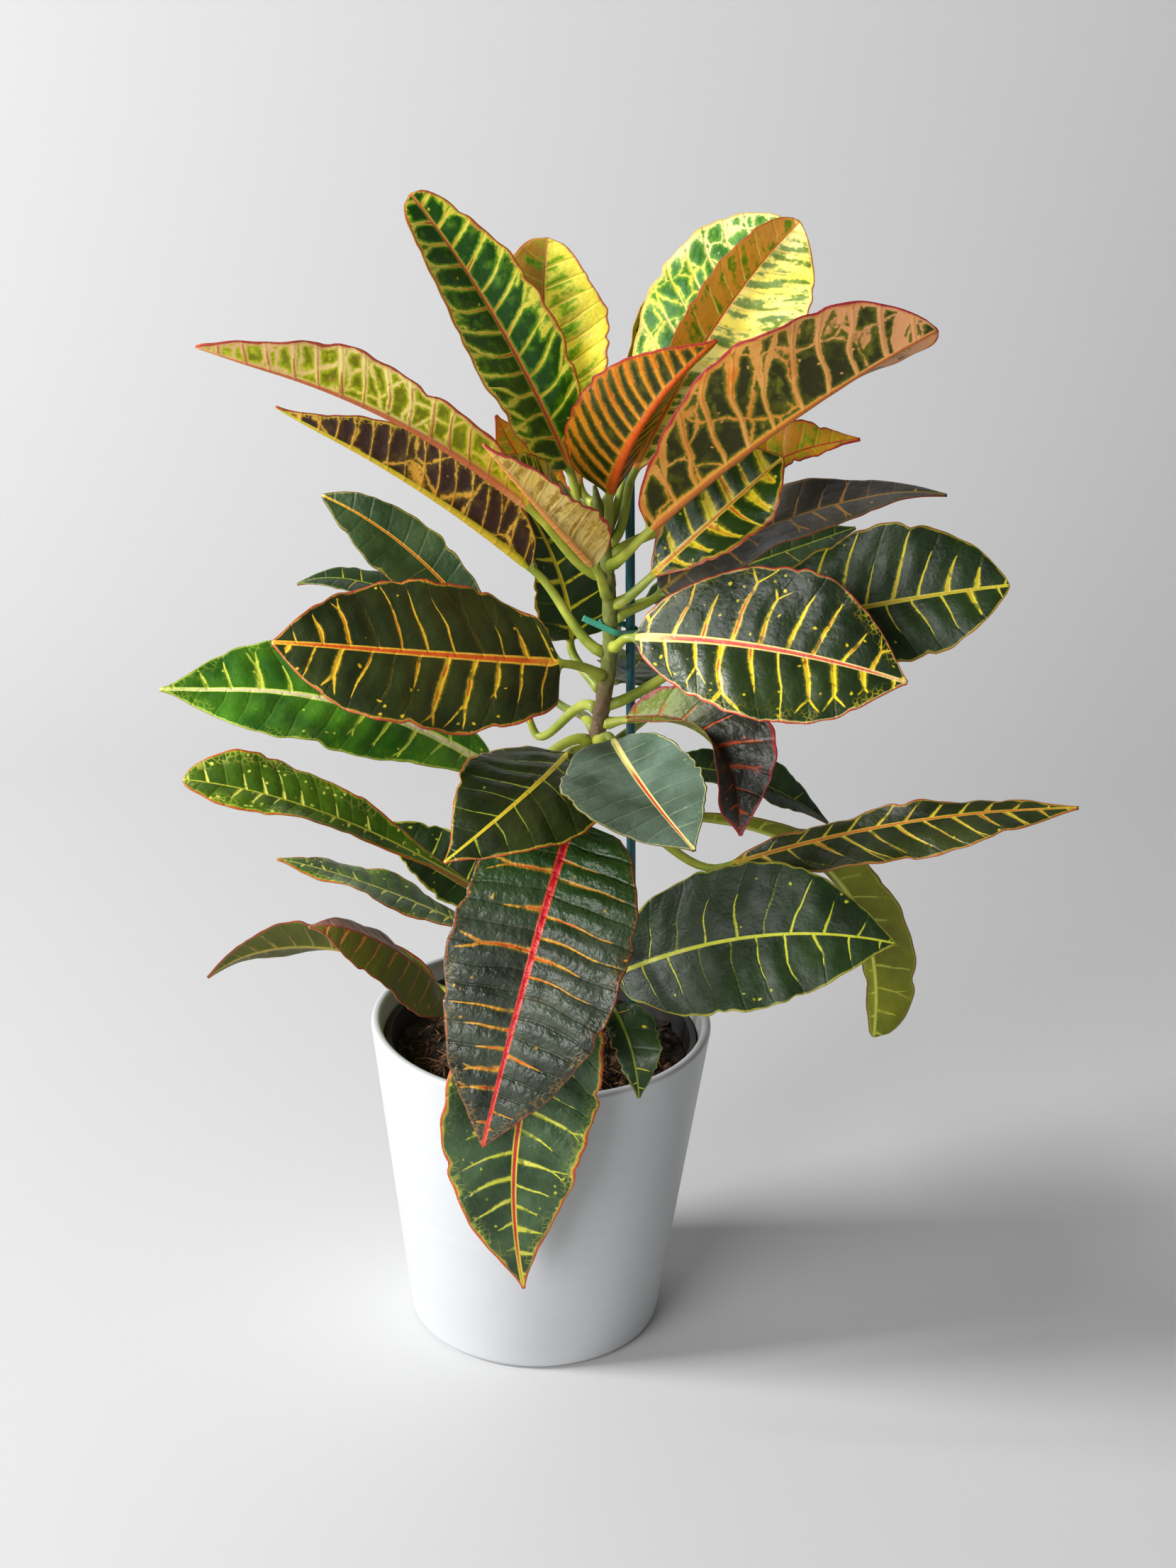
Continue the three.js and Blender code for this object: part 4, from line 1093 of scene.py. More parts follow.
    def build_leaf(self, number: int, leaf: Leaf, slot: str) -> Piece:
        """Join stalk and blade rings into one closed skin and dress it.

        The first stations of the blade blend from the stalk's round end to the blade's own ring by a smooth step.

        Args:
            number: The leaf's number.
            leaf: The leaf.
            slot: Material slot of the record.

        Returns:
            The leaf piece.
        """
        v = self.places()
        u = np.linspace(0, 1, self.blade_steps + 1)[1:]
        stalk = self.stalk_rings(leaf, v)
        blend = ease(u / self.blend_share)[:, None, None]
        shifted = stalk[-1][None] + (self.midrib(leaf, u) - self.midrib(leaf, np.array([0.0])))[:, None]
        blade = self.blade_rings(leaf, number, u, v) * blend + shifted * (1 - blend)
        rings = np.concatenate([stalk, blade])
        count, size = rings.shape[:2]
        piece = loft(f"croton_leaf_{number:02d}", rings, rings[0].mean(0), rings[-1].mean(0))
        for finish, under in ((leaf.look.upper, False), (leaf.look.under, True)):
            piece.data.materials.append(leaf_skin(finish, under))
        dress(piece, STALK.material(), slot, f"leaf_{number:02d}")
        top, back, stem = range(3)
        kinds = np.full((count - 1, size), back)
        kinds[:, : size // 2 - 1] = top
        kinds[: len(stalk) + 1] = stem
        kinds = np.concatenate([kinds.ravel(), np.full(size, stem), np.full(size, top)]).astype(np.int32)
        piece.data.polygons.foreach_set("material_index", kinds)
        for name, values in self.measures(leaf, number, u, v).items():
            both = np.concatenate([values, values[:, ::-1]], axis=1)
            rows = np.concatenate([np.repeat(both[:1], len(stalk), axis=0), both]).ravel()
            rows = np.concatenate([rows, both[0, :1], both[-1, :1]])
            piece.data.attributes.new(name, "FLOAT", "POINT").data.foreach_set("value", rows.astype(np.float32))
        return piece

    def build(self) -> None:
        """Build every leaf and report it."""
        slots = {part["node"]: part["material_slot"] for part in frame["record"]["subparts"]}
        for number, leaf in enumerate(self.leaves, 1):
            piece = self.build_leaf(number, leaf, slots[f"leaf_{number:02d}"])
            log.info("%s: %d faces, %s", piece.name, len(piece.data.polygons), leaf.look.name)

    def scars(self) -> list[tuple[float, float]]:
        """Find where every stalk's foot meets the stem.

        Returns:
            Height and angle of each.
        """
        found = []
        for leaf in self.leaves:
            point, _, axis = self.stem.place(leaf.at)
            away = np.array(leaf.base) - point
            across = unit(np.cross([0, 1, 0], axis))
            found.append((leaf.at, math.atan2(away @ np.cross(axis, across), away @ across)))
        return found


class LeafSkin:
    """The material of one leaf finish and side, painted by the leaf's own measures.

    The upper side has a waxy gloss and grooved veins; the back is satin, with veins that stand out as ribs.
    Sizes are in millimetres on the blade. A side vein runs where its number's fraction is VEIN_LINE.
    """

    CELL_EDGE = {"out": "Distance", "feature": "DISTANCE_TO_EDGE"}
    MEASURES = ("vein", "along", "share", "across", "reach", "rim", "spacing", "seed")
    VEIN_LINE = 0.58
    APART_MM = 61.7
    BEND_MM = 3.4
    MESH_MM = 2.7
    DOT_MM = 3.4
    NET_GAP_MM = 0.4
    # Spans of the random draws: half thickness and end of a vein as shares of the finish's, and fork as a share
    # of the half width.
    THICKNESS = (0.22, 0.82)
    ENDS = (0.55, 1.15)
    FORK = (0.45, 0.8)

    def __init__(self, finish: LeafFinish, under: bool) -> None:
        """Start the material with the measures and the noises that its layers read.

        Noises lie flat on the blade, and the leaf's number sets leaves apart in them.

        Args:
            finish: Colours and sizes of the pattern.
            under: Whether it is the under side.
        """
        self.finish, self.under = finish, under
        self.material, self.tree = new_material(finish.name)
        node = self.node = partial(add_node, self.tree)
        self.vein, self.along, self.share, self.across, self.reach, self.rim, self.spacing, self.seed = (
            node("Attribute", out="Fac", attribute_type="GEOMETRY", attribute_name=name) for name in self.MEASURES
        )
        self.side = node("Math GREATER_THAN", [self.across, 0.0])
        self.out = node("Math ABSOLUTE", [self.across])
        self.lateral = node("Math MULTIPLY", [self.reach, node("Math SIGN", [self.across])])
        self.apart = node("Math MULTIPLY", [self.seed, self.APART_MM])
        flat = node("CombineXYZ", [self.along, self.lateral, self.apart])
        self.broad, self.patch, self.patchy, self.fine = (
            node("TexNoise", {"Vector": flat, "Scale": 1 / size, "Detail": detail})
            for size, detail in ((26, 3.0), (11, 2.0), (6, 3.0), (1.6, 4.0))
        )
        cloud = node("TexNoise", {"Vector": flat, "Scale": 1 / 5, "Detail": 2.0}, out="Color")
        self.bent = node("VectorMath MULTIPLY_ADD", [cloud, (self.BEND_MM, self.BEND_MM, 0.0), flat])
        self.mesh = node("TexVoronoi", {"Vector": self.bent, "Scale": 1 / self.MESH_MM}, **self.CELL_EDGE)

    def mask(self, *factors: "Socket | tuple") -> Socket:
        """Multiply the parts of a layer's mask.

        Args:
            factors: Sockets, or a measure with the start and end of an eased ramp and its values there.

        Returns:
            The mask.
        """
        product = None
        for factor in factors:
            if isinstance(factor, tuple):
                factor = self.node("MapRange", factor, **SMOOTH)
            product = factor if product is None else self.node("Math MULTIPLY", [product, factor])
        return product

    def number_veins(self) -> None:
        """Number the side veins, with a little drift, and measure the distance from the nearest one's line."""
        drift = self.node("Math MULTIPLY_ADD", [self.patchy, 0.1, self.vein])
        self.number = self.node("Math MULTIPLY_ADD", [self.side, SIDE_SHIFT, drift])
        centred = self.node("Math SUBTRACT", [self.node("Math FRACT", [self.number]), self.VEIN_LINE])
        self.straight = self.node("Math MULTIPLY", [self.node("Math ABSOLUTE", [centred]), self.spacing])

    def veins(self) -> list[tuple[Socket, Socket]]:
        """Side veins: ribbons with a core. Random draws for each vein set its thickness, its end and its fork.

        A vein forks where its branch leaves the straight line beyond a share of the half width. Its width is
        spiked, or a blob where the finish bulges, and gnawed by fine noise.

        Returns:
            Masks and tints of the paler strip beside a vein and of the vein.
        """
        node, finish = self.node, self.finish
        key = node("CombineXYZ", [node("Math FLOOR", [self.number]), self.side, self.seed])
        chance = node("TexWhiteNoise", [key], out="Value", noise_dimensions="3D")
        dice = node("TexWhiteNoise", [key], out="Color", noise_dimensions="3D")
        thick_draw, end_draw, fork_draw = (node("SeparateXYZ", [dice], out=axis) for axis in "XYZ")

        half = node("Math ADD", [self.reach, self.rim])
        fork_at = node("Math MULTIPLY", [half, node("MapRange", [fork_draw, 0.0, 1.0, *self.FORK])])
        beyond = node("Math SUBTRACT", [self.reach, fork_at])
        forked = node("Math GREATER_THAN", [thick_draw, 0.35])
        spread = node("Math MULTIPLY", [node("Math MULTIPLY", [beyond, finish.fork]), forked])
        room = node("Math MULTIPLY", [self.spacing, 0.46])
        branch = node("Math MINIMUM", [node("Math MAXIMUM", [spread, 0.0]), room])
        self.distance = node("Math ABSOLUTE", [node("Math SUBTRACT", [self.straight, branch])])

        thickness, ends = (
            node("MapRange", [drawn, 0.0, 1.0, low * size, high * size])
            for drawn, (low, high), size in (
                (thick_draw, self.THICKNESS, finish.vein_width), (end_draw, self.ENDS, finish.vein_reach)
            )
        )
        gone = node("Math DIVIDE", [self.out, ends])
        spike = node("MapRange", [gone, 0.0, 1.05, 1.15, 0.28])
        blob = self.mask((gone, 0.0, 0.5, 0.5, 1.3), (gone, 0.5, 1.05, 1.0, 0.1))
        profile = node("Mix", [finish.bulge, None, spike, blob])
        nibbled = node("MapRange", [self.fine, 0.25, 0.75, 0.75, 1.25])
        ratio = node("Math DIVIDE", [self.distance, self.mask(thickness, profile, nibbled)])

        reaching = node("MapRange", [gone, 0.96, 1.06, 1.0, 0.0], **SMOOTH)
        there = node("Math LESS_THAN", [chance, finish.vein_share])
        kept = node("MapRange", [self.patchy, 0.36, 0.44, 0.3, 1.0], **SMOOTH)
        shown = self.mask((ratio, 0.8, 1.35, 1.0, 0.0), reaching, there, kept)
        beside = self.mask((ratio, 1.0, 2.3, 0.22, 0.0), reaching, there, kept)
        cored = node("MapRange", [fork_draw, 0.2, 0.5, 0.25, 1.0])
        core = self.mask(
            (ratio, 0.35, 0.8, 1.0, 0.0), cored, (gone, 0.45, 1.0, 1.0, 0.2), (self.patch, 0.4, 0.56, 0.15, 1.0)
        )
        strand = node("Mix", {0: core, 6: linear(finish.vein), 7: linear(finish.vein_core)}, **RGBA)
        return [(beside, linear(finish.vein)), (shown, strand)]

    def washes(self) -> list[tuple[Socket, tuple]]:
        """Broad tints where the finish has them: midrib, tip (partly painted light), left half (partly painted
        shade), base.

        Returns:
            Masks and tints.
        """
        washes = (
            (self.finish.rib_tint, SMOOTH, (self.out, 0.1, 0.5, 0.85, 0.0)),
            # Toward the tip: a tint that on the copper back is partly painted light.
            (self.finish.tip_tint_and_light, SMOOTH, (self.share, 0.5, 0.95, 0.0, 0.9)),
            # Over the left half: painted shade on the sunny and two-tone finishes, the leaf's own olive on the
            # plum one.
            (self.finish.left_shade_and_tint, {}, (self.across, -0.02, 0.02, 0.85, 0.0)),
            (self.finish.base_tint, SMOOTH, (self.share, 0.12, 0.5, 0.9, 0.0)),
        )
        return [(self.node("MapRange", ramp, **way), linear(tint)) for tint, way, ramp in washes if tint]

    def islands(self, panels: Panels) -> tuple[Socket, Socket]:
        """Dark islands: where noise along the side veins, less the clear strips and a frayed edge, is above zero.

        Args:
            panels: Colours and sizes of the islands.

        Returns:
            Their mask and tint.
        """
        node = self.node
        frayed = node("Math MULTIPLY_ADD", [self.fine, 1.7, -1.75])
        frayed = node("Math MULTIPLY_ADD", [self.patchy, 1.8, frayed])
        lane = node("Math MULTIPLY", [self.number, self.spacing])
        drawn = node("CombineXYZ", [lane, node("Math MULTIPLY", [self.lateral, panels.draw]), self.apart])
        odds = self.mask(
            (self.out, 0.3, 0.9, 1.0, 1 - panels.outer_fade), (self.share, 0.6, 0.95, 1.0, 1 - panels.tip_fade)
        )
        odds = node("Math MULTIPLY_ADD", [odds, 0.7 * panels.share, -0.85])
        noise = node("TexNoise", {"Vector": drawn, "Scale": 1 / panels.cell, "Detail": 2.5})
        island = node("Math MULTIPLY", [node("Math ADD", [noise, odds]), 1.4 * panels.cell])
        widening = node("MapRange", [self.out, 0.0, 1.0, 1.5, 0.62])
        taper = node("MapRange", [self.share, 0.0, 1.0, 1.2, 0.4])
        strips = [
            (node("Math MULTIPLY", [self.distance, widening]), panels.vein_gap),
            (node("Math DIVIDE", [self.reach, taper]), panels.rib_gap),
            (self.rim, panels.rim_gap),
        ]
        if panels.net:
            edge = node("TexVoronoi", {"Vector": self.bent, "Scale": 1 / panels.net}, **self.CELL_EDGE)
            strips.append((node("Math MULTIPLY", [edge, panels.net]), self.NET_GAP_MM))
        for measure, clear in strips:
            island = node("Math MINIMUM", [island, node("Math SUBTRACT", [measure, clear])])
        island = node("Math ADD", [island, frayed])
        thread = node("MapRange", [self.rim, 0.5, 3.5, 0.08, -0.12])
        open_net = node("Math SUBTRACT", [self.mesh, thread])
        heart = self.mask((island, 0.2, 1.6, 0.0, 1.0), (self.patchy, 0.5, 0.72, 1.0, 0.45))
        tint = node("Mix", {0: heart, 6: linear(panels.light), 7: linear(panels.dark)}, **RGBA)
        return self.mask((island, -0.35, 0.45, 0.0, 1.0), (open_net, 0.0, 0.12, 0.0, 1.0)), tint

    def lace(self) -> tuple[Socket, tuple]:
        """Fine net of the veins' colour, in patches near the margin and toward the tip.

        Returns:
            Its mask and tint.
        """
        toward_tip = self.node("MapRange", [self.share, 0.3, 0.85, 0.3, 1.0])
        lines = (self.mesh, 0.02, 0.12, self.finish.lace, 0.0)
        mask = self.mask(lines, (self.rim, 2.0, 8.0, 1.0, 0.0), (self.patch, 0.42, 0.55, 0.0, 1.0), toward_tip)
        return mask, linear(self.finish.vein)

    def speckles(self) -> tuple[Socket, tuple]:
        """Small dots of the veins' colour, more of them toward the margin.

        Returns:
            Their mask and tint.
        """
        node, many = self.node, self.finish.speckle
        dots = {"Vector": self.bent, "Scale": 1 / self.DOT_MM}
        lot = node("SeparateXYZ", [node("TexVoronoi", dots, out="Color")], out="Y")
        few = node("Math LESS_THAN", [lot, node("MapRange", [self.out, 0.3, 1.0, 0.4 * many, 1.8 * many])])
        near = (node("TexVoronoi", dots, out="Distance"), 0.1, 0.3, 0.9, 0.0)
        return self.mask(near, few), linear(self.finish.vein)

    def midrib(self) -> tuple[Socket, Socket]:
        """Midrib: a tapering band of its edge's colour, with a core that starts and ends within it.

        Returns:
            Its mask and tint.
        """
        node, finish = self.node, self.finish
        half = node("MapRange", [self.share, 0.0, 1.0, 0.5 * finish.midrib_width, 0.2 * finish.midrib_width])
        ratio = node("Math DIVIDE", [self.reach, half])
        begun = (self.share, finish.core_from - 0.08, finish.core_from + 0.1, 0.0, 1.0)
        core = self.mask((ratio, 0.45, 0.72, 1.0, 0.0), begun, (self.share, 0.82, 1.0, 1.0, 0.25))
        tint = node("Mix", {0: core, 6: linear(finish.midrib_edge), 7: linear(finish.midrib)}, **RGBA)
        return node("MapRange", [ratio, 0.9, 1.25, 1.0, 0.0], **SMOOTH), tint

    def margin(self) -> list[tuple[Socket, tuple]]:
        """Margin: an uneven band at the very edge, with broken edging in the midrib's edge colour inside it.

        Returns:
            Masks and tints of the edging and the band.
        """
        wide = self.finish.margin_width
        uneven = self.node("MapRange", [self.patchy, 0.3, 0.7, 0.5 * wide, 1.5 * wide])
        ratio = self.node("Math DIVIDE", [self.rim, uneven])
        edging = self.mask((ratio, 1.2, 2.4, 0.6, 0.0), (self.broad, 0.38, 0.5, 0.4, 1.0))
        band = self.node("MapRange", [ratio, 0.7, 1.2, 0.95, 0.0], **SMOOTH)
        return [(edging, linear(self.finish.midrib_edge)), (band, linear(self.finish.margin))]

    def relief(self) -> Socket:
        """Height field: vein grooves, or ribs on the back, with patches, cells and a fine grain.

        Returns:
            Heights of about 0 to 1.
        """
        low, high = (0.6, 0.0) if self.under else (0.0, 0.6)
        height = self.node("MapRange", [self.straight, 0.0, 1.1, low, high], **SMOOTH)
        for noise, share in ((self.fine, 0.35), (self.patchy, 2.6), (self.mesh, 0.5)):
            height = self.node("Math MULTIPLY_ADD", [noise, share, height])
        return height

    def paint(self) -> Material:
        """Lay the layers over the blade's ground, from the washes up to the margin, and close the material.

        Returns:
            The material.
        """
        node, finish = self.node, self.finish
        light = node("MapRange", [self.broad, 0.35, 0.65, 0.0, 1.0])
        colour = node("Mix", {0: light, 6: linear(finish.blade), 7: linear(finish.blade_light)}, **RGBA)
        self.number_veins()
        veins = self.veins()
        layers = self.washes()
        if finish.panels:
            layers.append(self.islands(finish.panels))
        if finish.lace:
            layers.append(self.lace())
        for mask, tint in (*layers, self.speckles(), *veins, self.midrib(), *self.margin()):
            colour = node("Mix", {0: mask, 6: colour, 7: tint}, **RGBA)
        gloss = node("MapRange", [self.patchy, 0.3, 0.7, finish.roughness - 0.05, finish.roughness + 0.07])
        shine = 0.25 if self.under else 0.42
        close_material(self.tree, colour, gloss, self.relief(), finish.bump_mm, Specular_IOR_Level=shine)
        return self.material


@cache
def leaf_skin(finish: LeafFinish, under: bool) -> Material:
    """Leaf skin of one finish, made once for each side."""
    return LeafSkin(finish, under).paint()


@dataclass
class CoverPot:
    """The tapered white pot: a revolved cup with a rounded lip and a soft foot. Sizes are millimetres."""

    height: float = 156.0
    rim_radius: float = 80.0
    base_radius: float = 60.0
    wall: float = 4.5
    floor: float = 5.0
    lip: float = 2.1
    foot: float = 4.0
    inner_bend: float = 5.0
    sides: int = 256

    def build(self) -> Piece:
        """Revolve the cup's rounded section and glaze it.

        Returns:
            The pot piece.
        """
        inner = self.base_radius + (self.rim_radius - self.base_radius) * self.floor / self.height - self.wall
        profile = rounded([
            (0, 0, 0), (self.base_radius, 0, self.foot), (self.rim_radius, self.height, self.lip),
            (self.rim_radius - self.wall, self.height, self.lip), (inner, self.floor, self.inner_bend),
            (0, self.floor, 0),
        ])
        return dress(revolve("cover_pot_glazed", profile, self.sides), GLAZE.material(), "white_glaze", "pot")


@dataclass
class GrowPot:
    """The black grow pot: a thin moulded cup with an outturned lip and a ring of drain holes, in millimetres."""

    low: float = 5.3
    top: float = 147.0
    lip_radius: float = 73.2
    top_radius: float = 71.6
    base_radius: float = 51.0
    wall: float = 1.2
    floor: float = 1.6
    lip_height: float = 4.0
    drain_count: int = 6
    drain_radius: float = 4.0
    drain_ring: float = 34.0
    drain_sides: int = 32
    drill_reach: tuple[float, float] = (3.0, 5.0)
    sides: int = 256

    def drills(self) -> Piece:
        """Round cutters for the drain holes: circles at two heights, joined by a wall and closed by flat ends.

        Returns:
            The cutters as one piece.
        """
        n = self.drain_sides
        around = turns(n)
        circle = np.stack([np.cos(around), np.sin(around), np.zeros(n)], axis=1) * self.drain_radius
        below, above = self.drill_reach
        points, faces = [], []
        for turn in turns(self.drain_count):
            centre = np.array([self.drain_ring * math.cos(turn), self.drain_ring * math.sin(turn), self.low])
            start = len(points) * 2 * n
            points.append(np.vstack([circle + centre - [0, 0, below], circle + centre + [0, 0, above]]))
            faces += (ring_faces(2, n) + start).tolist()
            faces += [list(range(start, start + n))[::-1], list(range(start + n, start + 2 * n))]
        return make_mesh("drain_drills", np.vstack(points), faces)

    def build(self) -> Piece:
        """Revolve the cup, drill its holes and dress it.

        Returns:
            The grow pot piece.
        """
        shoulder, floor = self.top - self.lip_height, self.low + self.floor
        profile = rounded([
            (0, self.low, 0), (self.base_radius, self.low, 2.0), (self.top_radius, shoulder, 0),
            (self.lip_radius, shoulder, 0.4), (self.lip_radius, self.top, 0.6),
            (self.top_radius - self.wall, self.top, 0.5), (self.base_radius - self.wall, floor, 0), (0, floor, 0),
        ])
        piece = revolve("grow_pot_moulded", profile, self.sides)
        drills = self.drills()
        cut = piece.modifiers.new("drain", "BOOLEAN")
        cut.object, cut.operation, cut.solver = drills, "DIFFERENCE", "EXACT"
        drilled = bpy.data.meshes.new_from_object(piece.evaluated_get(bpy.context.evaluated_depsgraph_get()))
        piece.modifiers.clear()
        piece.data = drilled
        bpy.data.objects.remove(drills)
        return dress(piece, GROW_POT.material(), "black_plastic", "grow_pot")


@dataclass
class Soil:
    """Moist coir and peat: an uneven dome, with crumbs and fibres lying on it. Sizes are millimetres."""

    edge: float = 137.0
    crown: float = 142.0
    low: float = 7.2
    sink: float = 1.2
    foot_radius: float = 49.5
    edge_radius: float = 68.6
    sides: int = 260
    rings: int = 90
    roughness_mm: float = 1.3
    crumbs: int = 620
    fibres: int = 420
    fibre_steps: int = 7
    crumb_spread: float = 0.965
    crumb_size: tuple[float, float] = (0.4, 3.2)
    crumb_lift: float = 0.3
    fibre_spread: float = 0.85
    fibre_reach: float = 0.97
    fibre_length: tuple[float, float] = (6.0, 22.0)
    fibre_half: tuple[float, float] = (0.12, 0.32)
    fibre_curl: float = 2.2
    fibre_lift: float = 3.0
    fibre_gap: float = 0.25

    def height(self, x: np.ndarray, y: np.ndarray) -> np.ndarray:
        """Height of the surface: a dome from crown to edge plus waves, calmer at the pot's wall.

        Args:
            x: Places in millimetres.
            y: Places in millimetres.

        Returns:
            Heights in millimetres.
        """
        out = np.hypot(x, y) / self.edge_radius
        dome = self.crown - (self.crown - self.edge) * ease((out - 0.3) / 0.7)
        flat = np.stack([x, y], axis=-1)
        rough = waves(flat, (3, 9), 60, SEED) * 0.6 + waves(flat, (12, 40), 20, SEED + 1)
        return dome + self.roughness_mm * rough * (1 - 0.6 * np.clip(out, 0, 1) ** 8) - self.sink

    def body(self) -> Piece:
        """Build the soil: rings from the crown outward, then down the wall to the floor.

        Returns:
            The soil piece.
        """
        angle = turns(self.sides)
        radius = np.concatenate([np.linspace(0.4, self.edge_radius, self.rings), [self.foot_radius]])
        x, y = radius[:, None] * np.cos(angle), radius[:, None] * np.sin(angle)
        z = self.height(x, y)
        z[-1] = self.low
        crown = (0, 0, self.height(np.array(0.0), np.array(0.0)))
        piece = loft("potting_soil", np.stack([x, y, z], axis=-1), crown, (0, 0, self.low))
        return dress(piece, EARTH.material(), "potting_soil", "soil")

    def crumb_bed(self) -> Piece:
        """Scatter crumbs: twenty-faced lumps, each stretched, turned and pushed about at random.

        Returns:
            All crumbs as one piece.
        """
        draw = np.random.default_rng(SEED + 2)
        g = (1 + 5**0.5) / 2
        lump = unit(np.array([
            (-1, g, 0), (1, g, 0), (-1, -g, 0), (1, -g, 0), (0, -1, g), (0, 1, g),
            (0, -1, -g), (0, 1, -g), (g, 0, -1), (g, 0, 1), (-g, 0, -1), (-g, 0, 1),
        ]))
        sides = np.array([
            (0, 11, 5), (0, 5, 1), (0, 1, 7), (0, 7, 10), (0, 10, 11), (1, 5, 9), (5, 11, 4), (11, 10, 2),
            (10, 7, 6), (7, 1, 8), (3, 9, 4), (3, 4, 2), (3, 2, 6), (3, 6, 8), (3, 8, 9), (4, 9, 5),
            (2, 4, 11), (6, 2, 10), (8, 6, 7), (9, 8, 1),
        ])
        n, corners = self.crumbs, len(lump)
        size = draw.gamma(2.2, 0.45, (n, 1, 1)).clip(*self.crumb_size)
        shape = lump[None] * draw.uniform(0.6, 1.3, (n, 1, 3)) * (1 + draw.uniform(-0.25, 0.25, (n, corners, 1)))
        turn = np.linalg.qr(draw.normal(size=(n, 3, 3)))[0]
        turn *= np.sign(np.linalg.det(turn))[:, None, None]
        shape = np.einsum("nij,nkj->nki", turn, shape * size)
        radius = self.edge_radius * self.crumb_spread * np.sqrt(draw.uniform(0, 1, n))
        angle = draw.uniform(0, 2 * np.pi, n)
        x, y = radius * np.cos(angle), radius * np.sin(angle)
        centre = np.stack([x, y, self.height(x, y) + size[:, 0, 0] * self.crumb_lift], axis=1)
        faces = (sides[None] + corners * np.arange(n)[:, None, None]).reshape(-1, 3)
        piece = make_mesh("soil_crumbs", shape + centre[:, None], faces.tolist(), smooth=False)
        return dress(piece, CRUMBS.material(), "potting_soil")

    def fibre_mat(self) -> Piece:
        """Scatter coir fibres: thin four-sided tubes along arcs that lie on the soil and lift at one end.

        Returns:
            All fibres as one piece.
        """
        draw = np.random.default_rng(SEED + 3)
        n, size = self.fibres, 4 * self.fibre_steps
        t = np.linspace(-0.5, 0.5, self.fibre_steps)[None, :]
        length = draw.uniform(*self.fibre_length, (n, 1))
        way = draw.uniform(0, 2 * np.pi, (n, 1))
        curl = draw.uniform(-self.fibre_curl, self.fibre_curl, (n, 1))
        radius = self.edge_radius * self.fibre_spread * np.sqrt(draw.uniform(0, 1, (n, 1)))
        angle = draw.uniform(0, 2 * np.pi, (n, 1))
        x = radius * np.cos(angle) + length * (t * np.cos(way) - curl * t**2 * np.sin(way))
        y = radius * np.sin(angle) + length * (t * np.sin(way) + curl * t**2 * np.cos(way))
        squeeze = np.minimum(1, self.edge_radius * self.fibre_reach / np.maximum(np.hypot(x, y), 1e-6))
        x, y = x * squeeze, y * squeeze
        z = self.height(x, y) + self.fibre_gap + draw.uniform(0, self.fibre_lift, (n, 1)) * (t + 0.5) ** 2
        line = np.stack([x, y, z], axis=-1)
        along = unit(np.gradient(line, axis=1))
        side = unit(np.cross(along, [0, 0, 1.0]))
        half = draw.uniform(*self.fibre_half, (n, 1, 1, 1))
        points = line[:, :, None] + spokes(side, np.cross(side, along), turns(4)) * half
        starts = size * np.arange(n)
        faces = (ring_faces(self.fibre_steps, 4)[None] + starts[:, None, None]).reshape(-1, 4).tolist()
        faces += (starts[:, None] + [3, 2, 1, 0]).tolist() + (starts[:, None] + size - [4, 3, 2, 1]).tolist()
        return dress(make_mesh("coir_fibres", points, faces), FIBRES.material(), "potting_soil")

    def build(self) -> list[Piece]:
        """Build soil, crumbs and fibres."""
        loose = [self.crumb_bed(), self.fibre_mat()]
        return [self.body(), *loose]


@dataclass
class Stake:
    """The slim stake: a round steel rod in a dark teal plastic skin, with rounded ends. Sizes are millimetres."""

    radius: float = 2.15
    foot: Point = (47, 12, 42)
    top: Point = (32.5, 12, 426)
    sides: int = 40
    rings: int = 60
    ribs: int = 10
    rib_depth: float = 0.02
    dome_steps: int = 8
    dome_gap: float = 2.0

    def at(self, height: float) -> np.ndarray:
        """Point of the stake's axis at a height."""
        foot, top = np.array(self.foot, float), np.array(self.top, float)
        return foot + (top - foot) * (height - foot[2]) / (top[2] - foot[2])

    def build(self) -> Piece:
        """Build the rod: circles along the axis, drawn in to a dome at each end, faintly ribbed along it.

        Returns:
            The stake piece.
        """
        foot, top = np.array(self.foot, float), np.array(self.top, float)
        length = np.linalg.norm(top - foot)
        along = (top - foot) / length
        across = unit(np.cross([0, 1, 0], along))
        dome = np.linspace(0.06, np.pi / 2, self.dome_steps)
        low, drawn_in = self.radius * (1 - np.cos(dome)), self.radius * np.sin(dome)
        start = self.radius + self.dome_gap
        straight = np.linspace(start, length - start, self.rings)
        place = np.concatenate([low, straight, length - low[::-1]])
        radius = np.concatenate([drawn_in, np.full(self.rings, self.radius), drawn_in[::-1]])
        angle = turns(self.sides)
        ribbed = 1 - self.rib_depth * (0.5 + 0.5 * np.cos(self.ribs * angle))
        flat = spokes(across, np.cross(along, across), angle)
        rings = (foot + along * place[:, None])[:, None] + flat * (radius[:, None] * ribbed)[..., None]
        return dress(loft("stake_rod", rings, foot, top), ROD_SKIN.material(), "stake_coating", "stake")


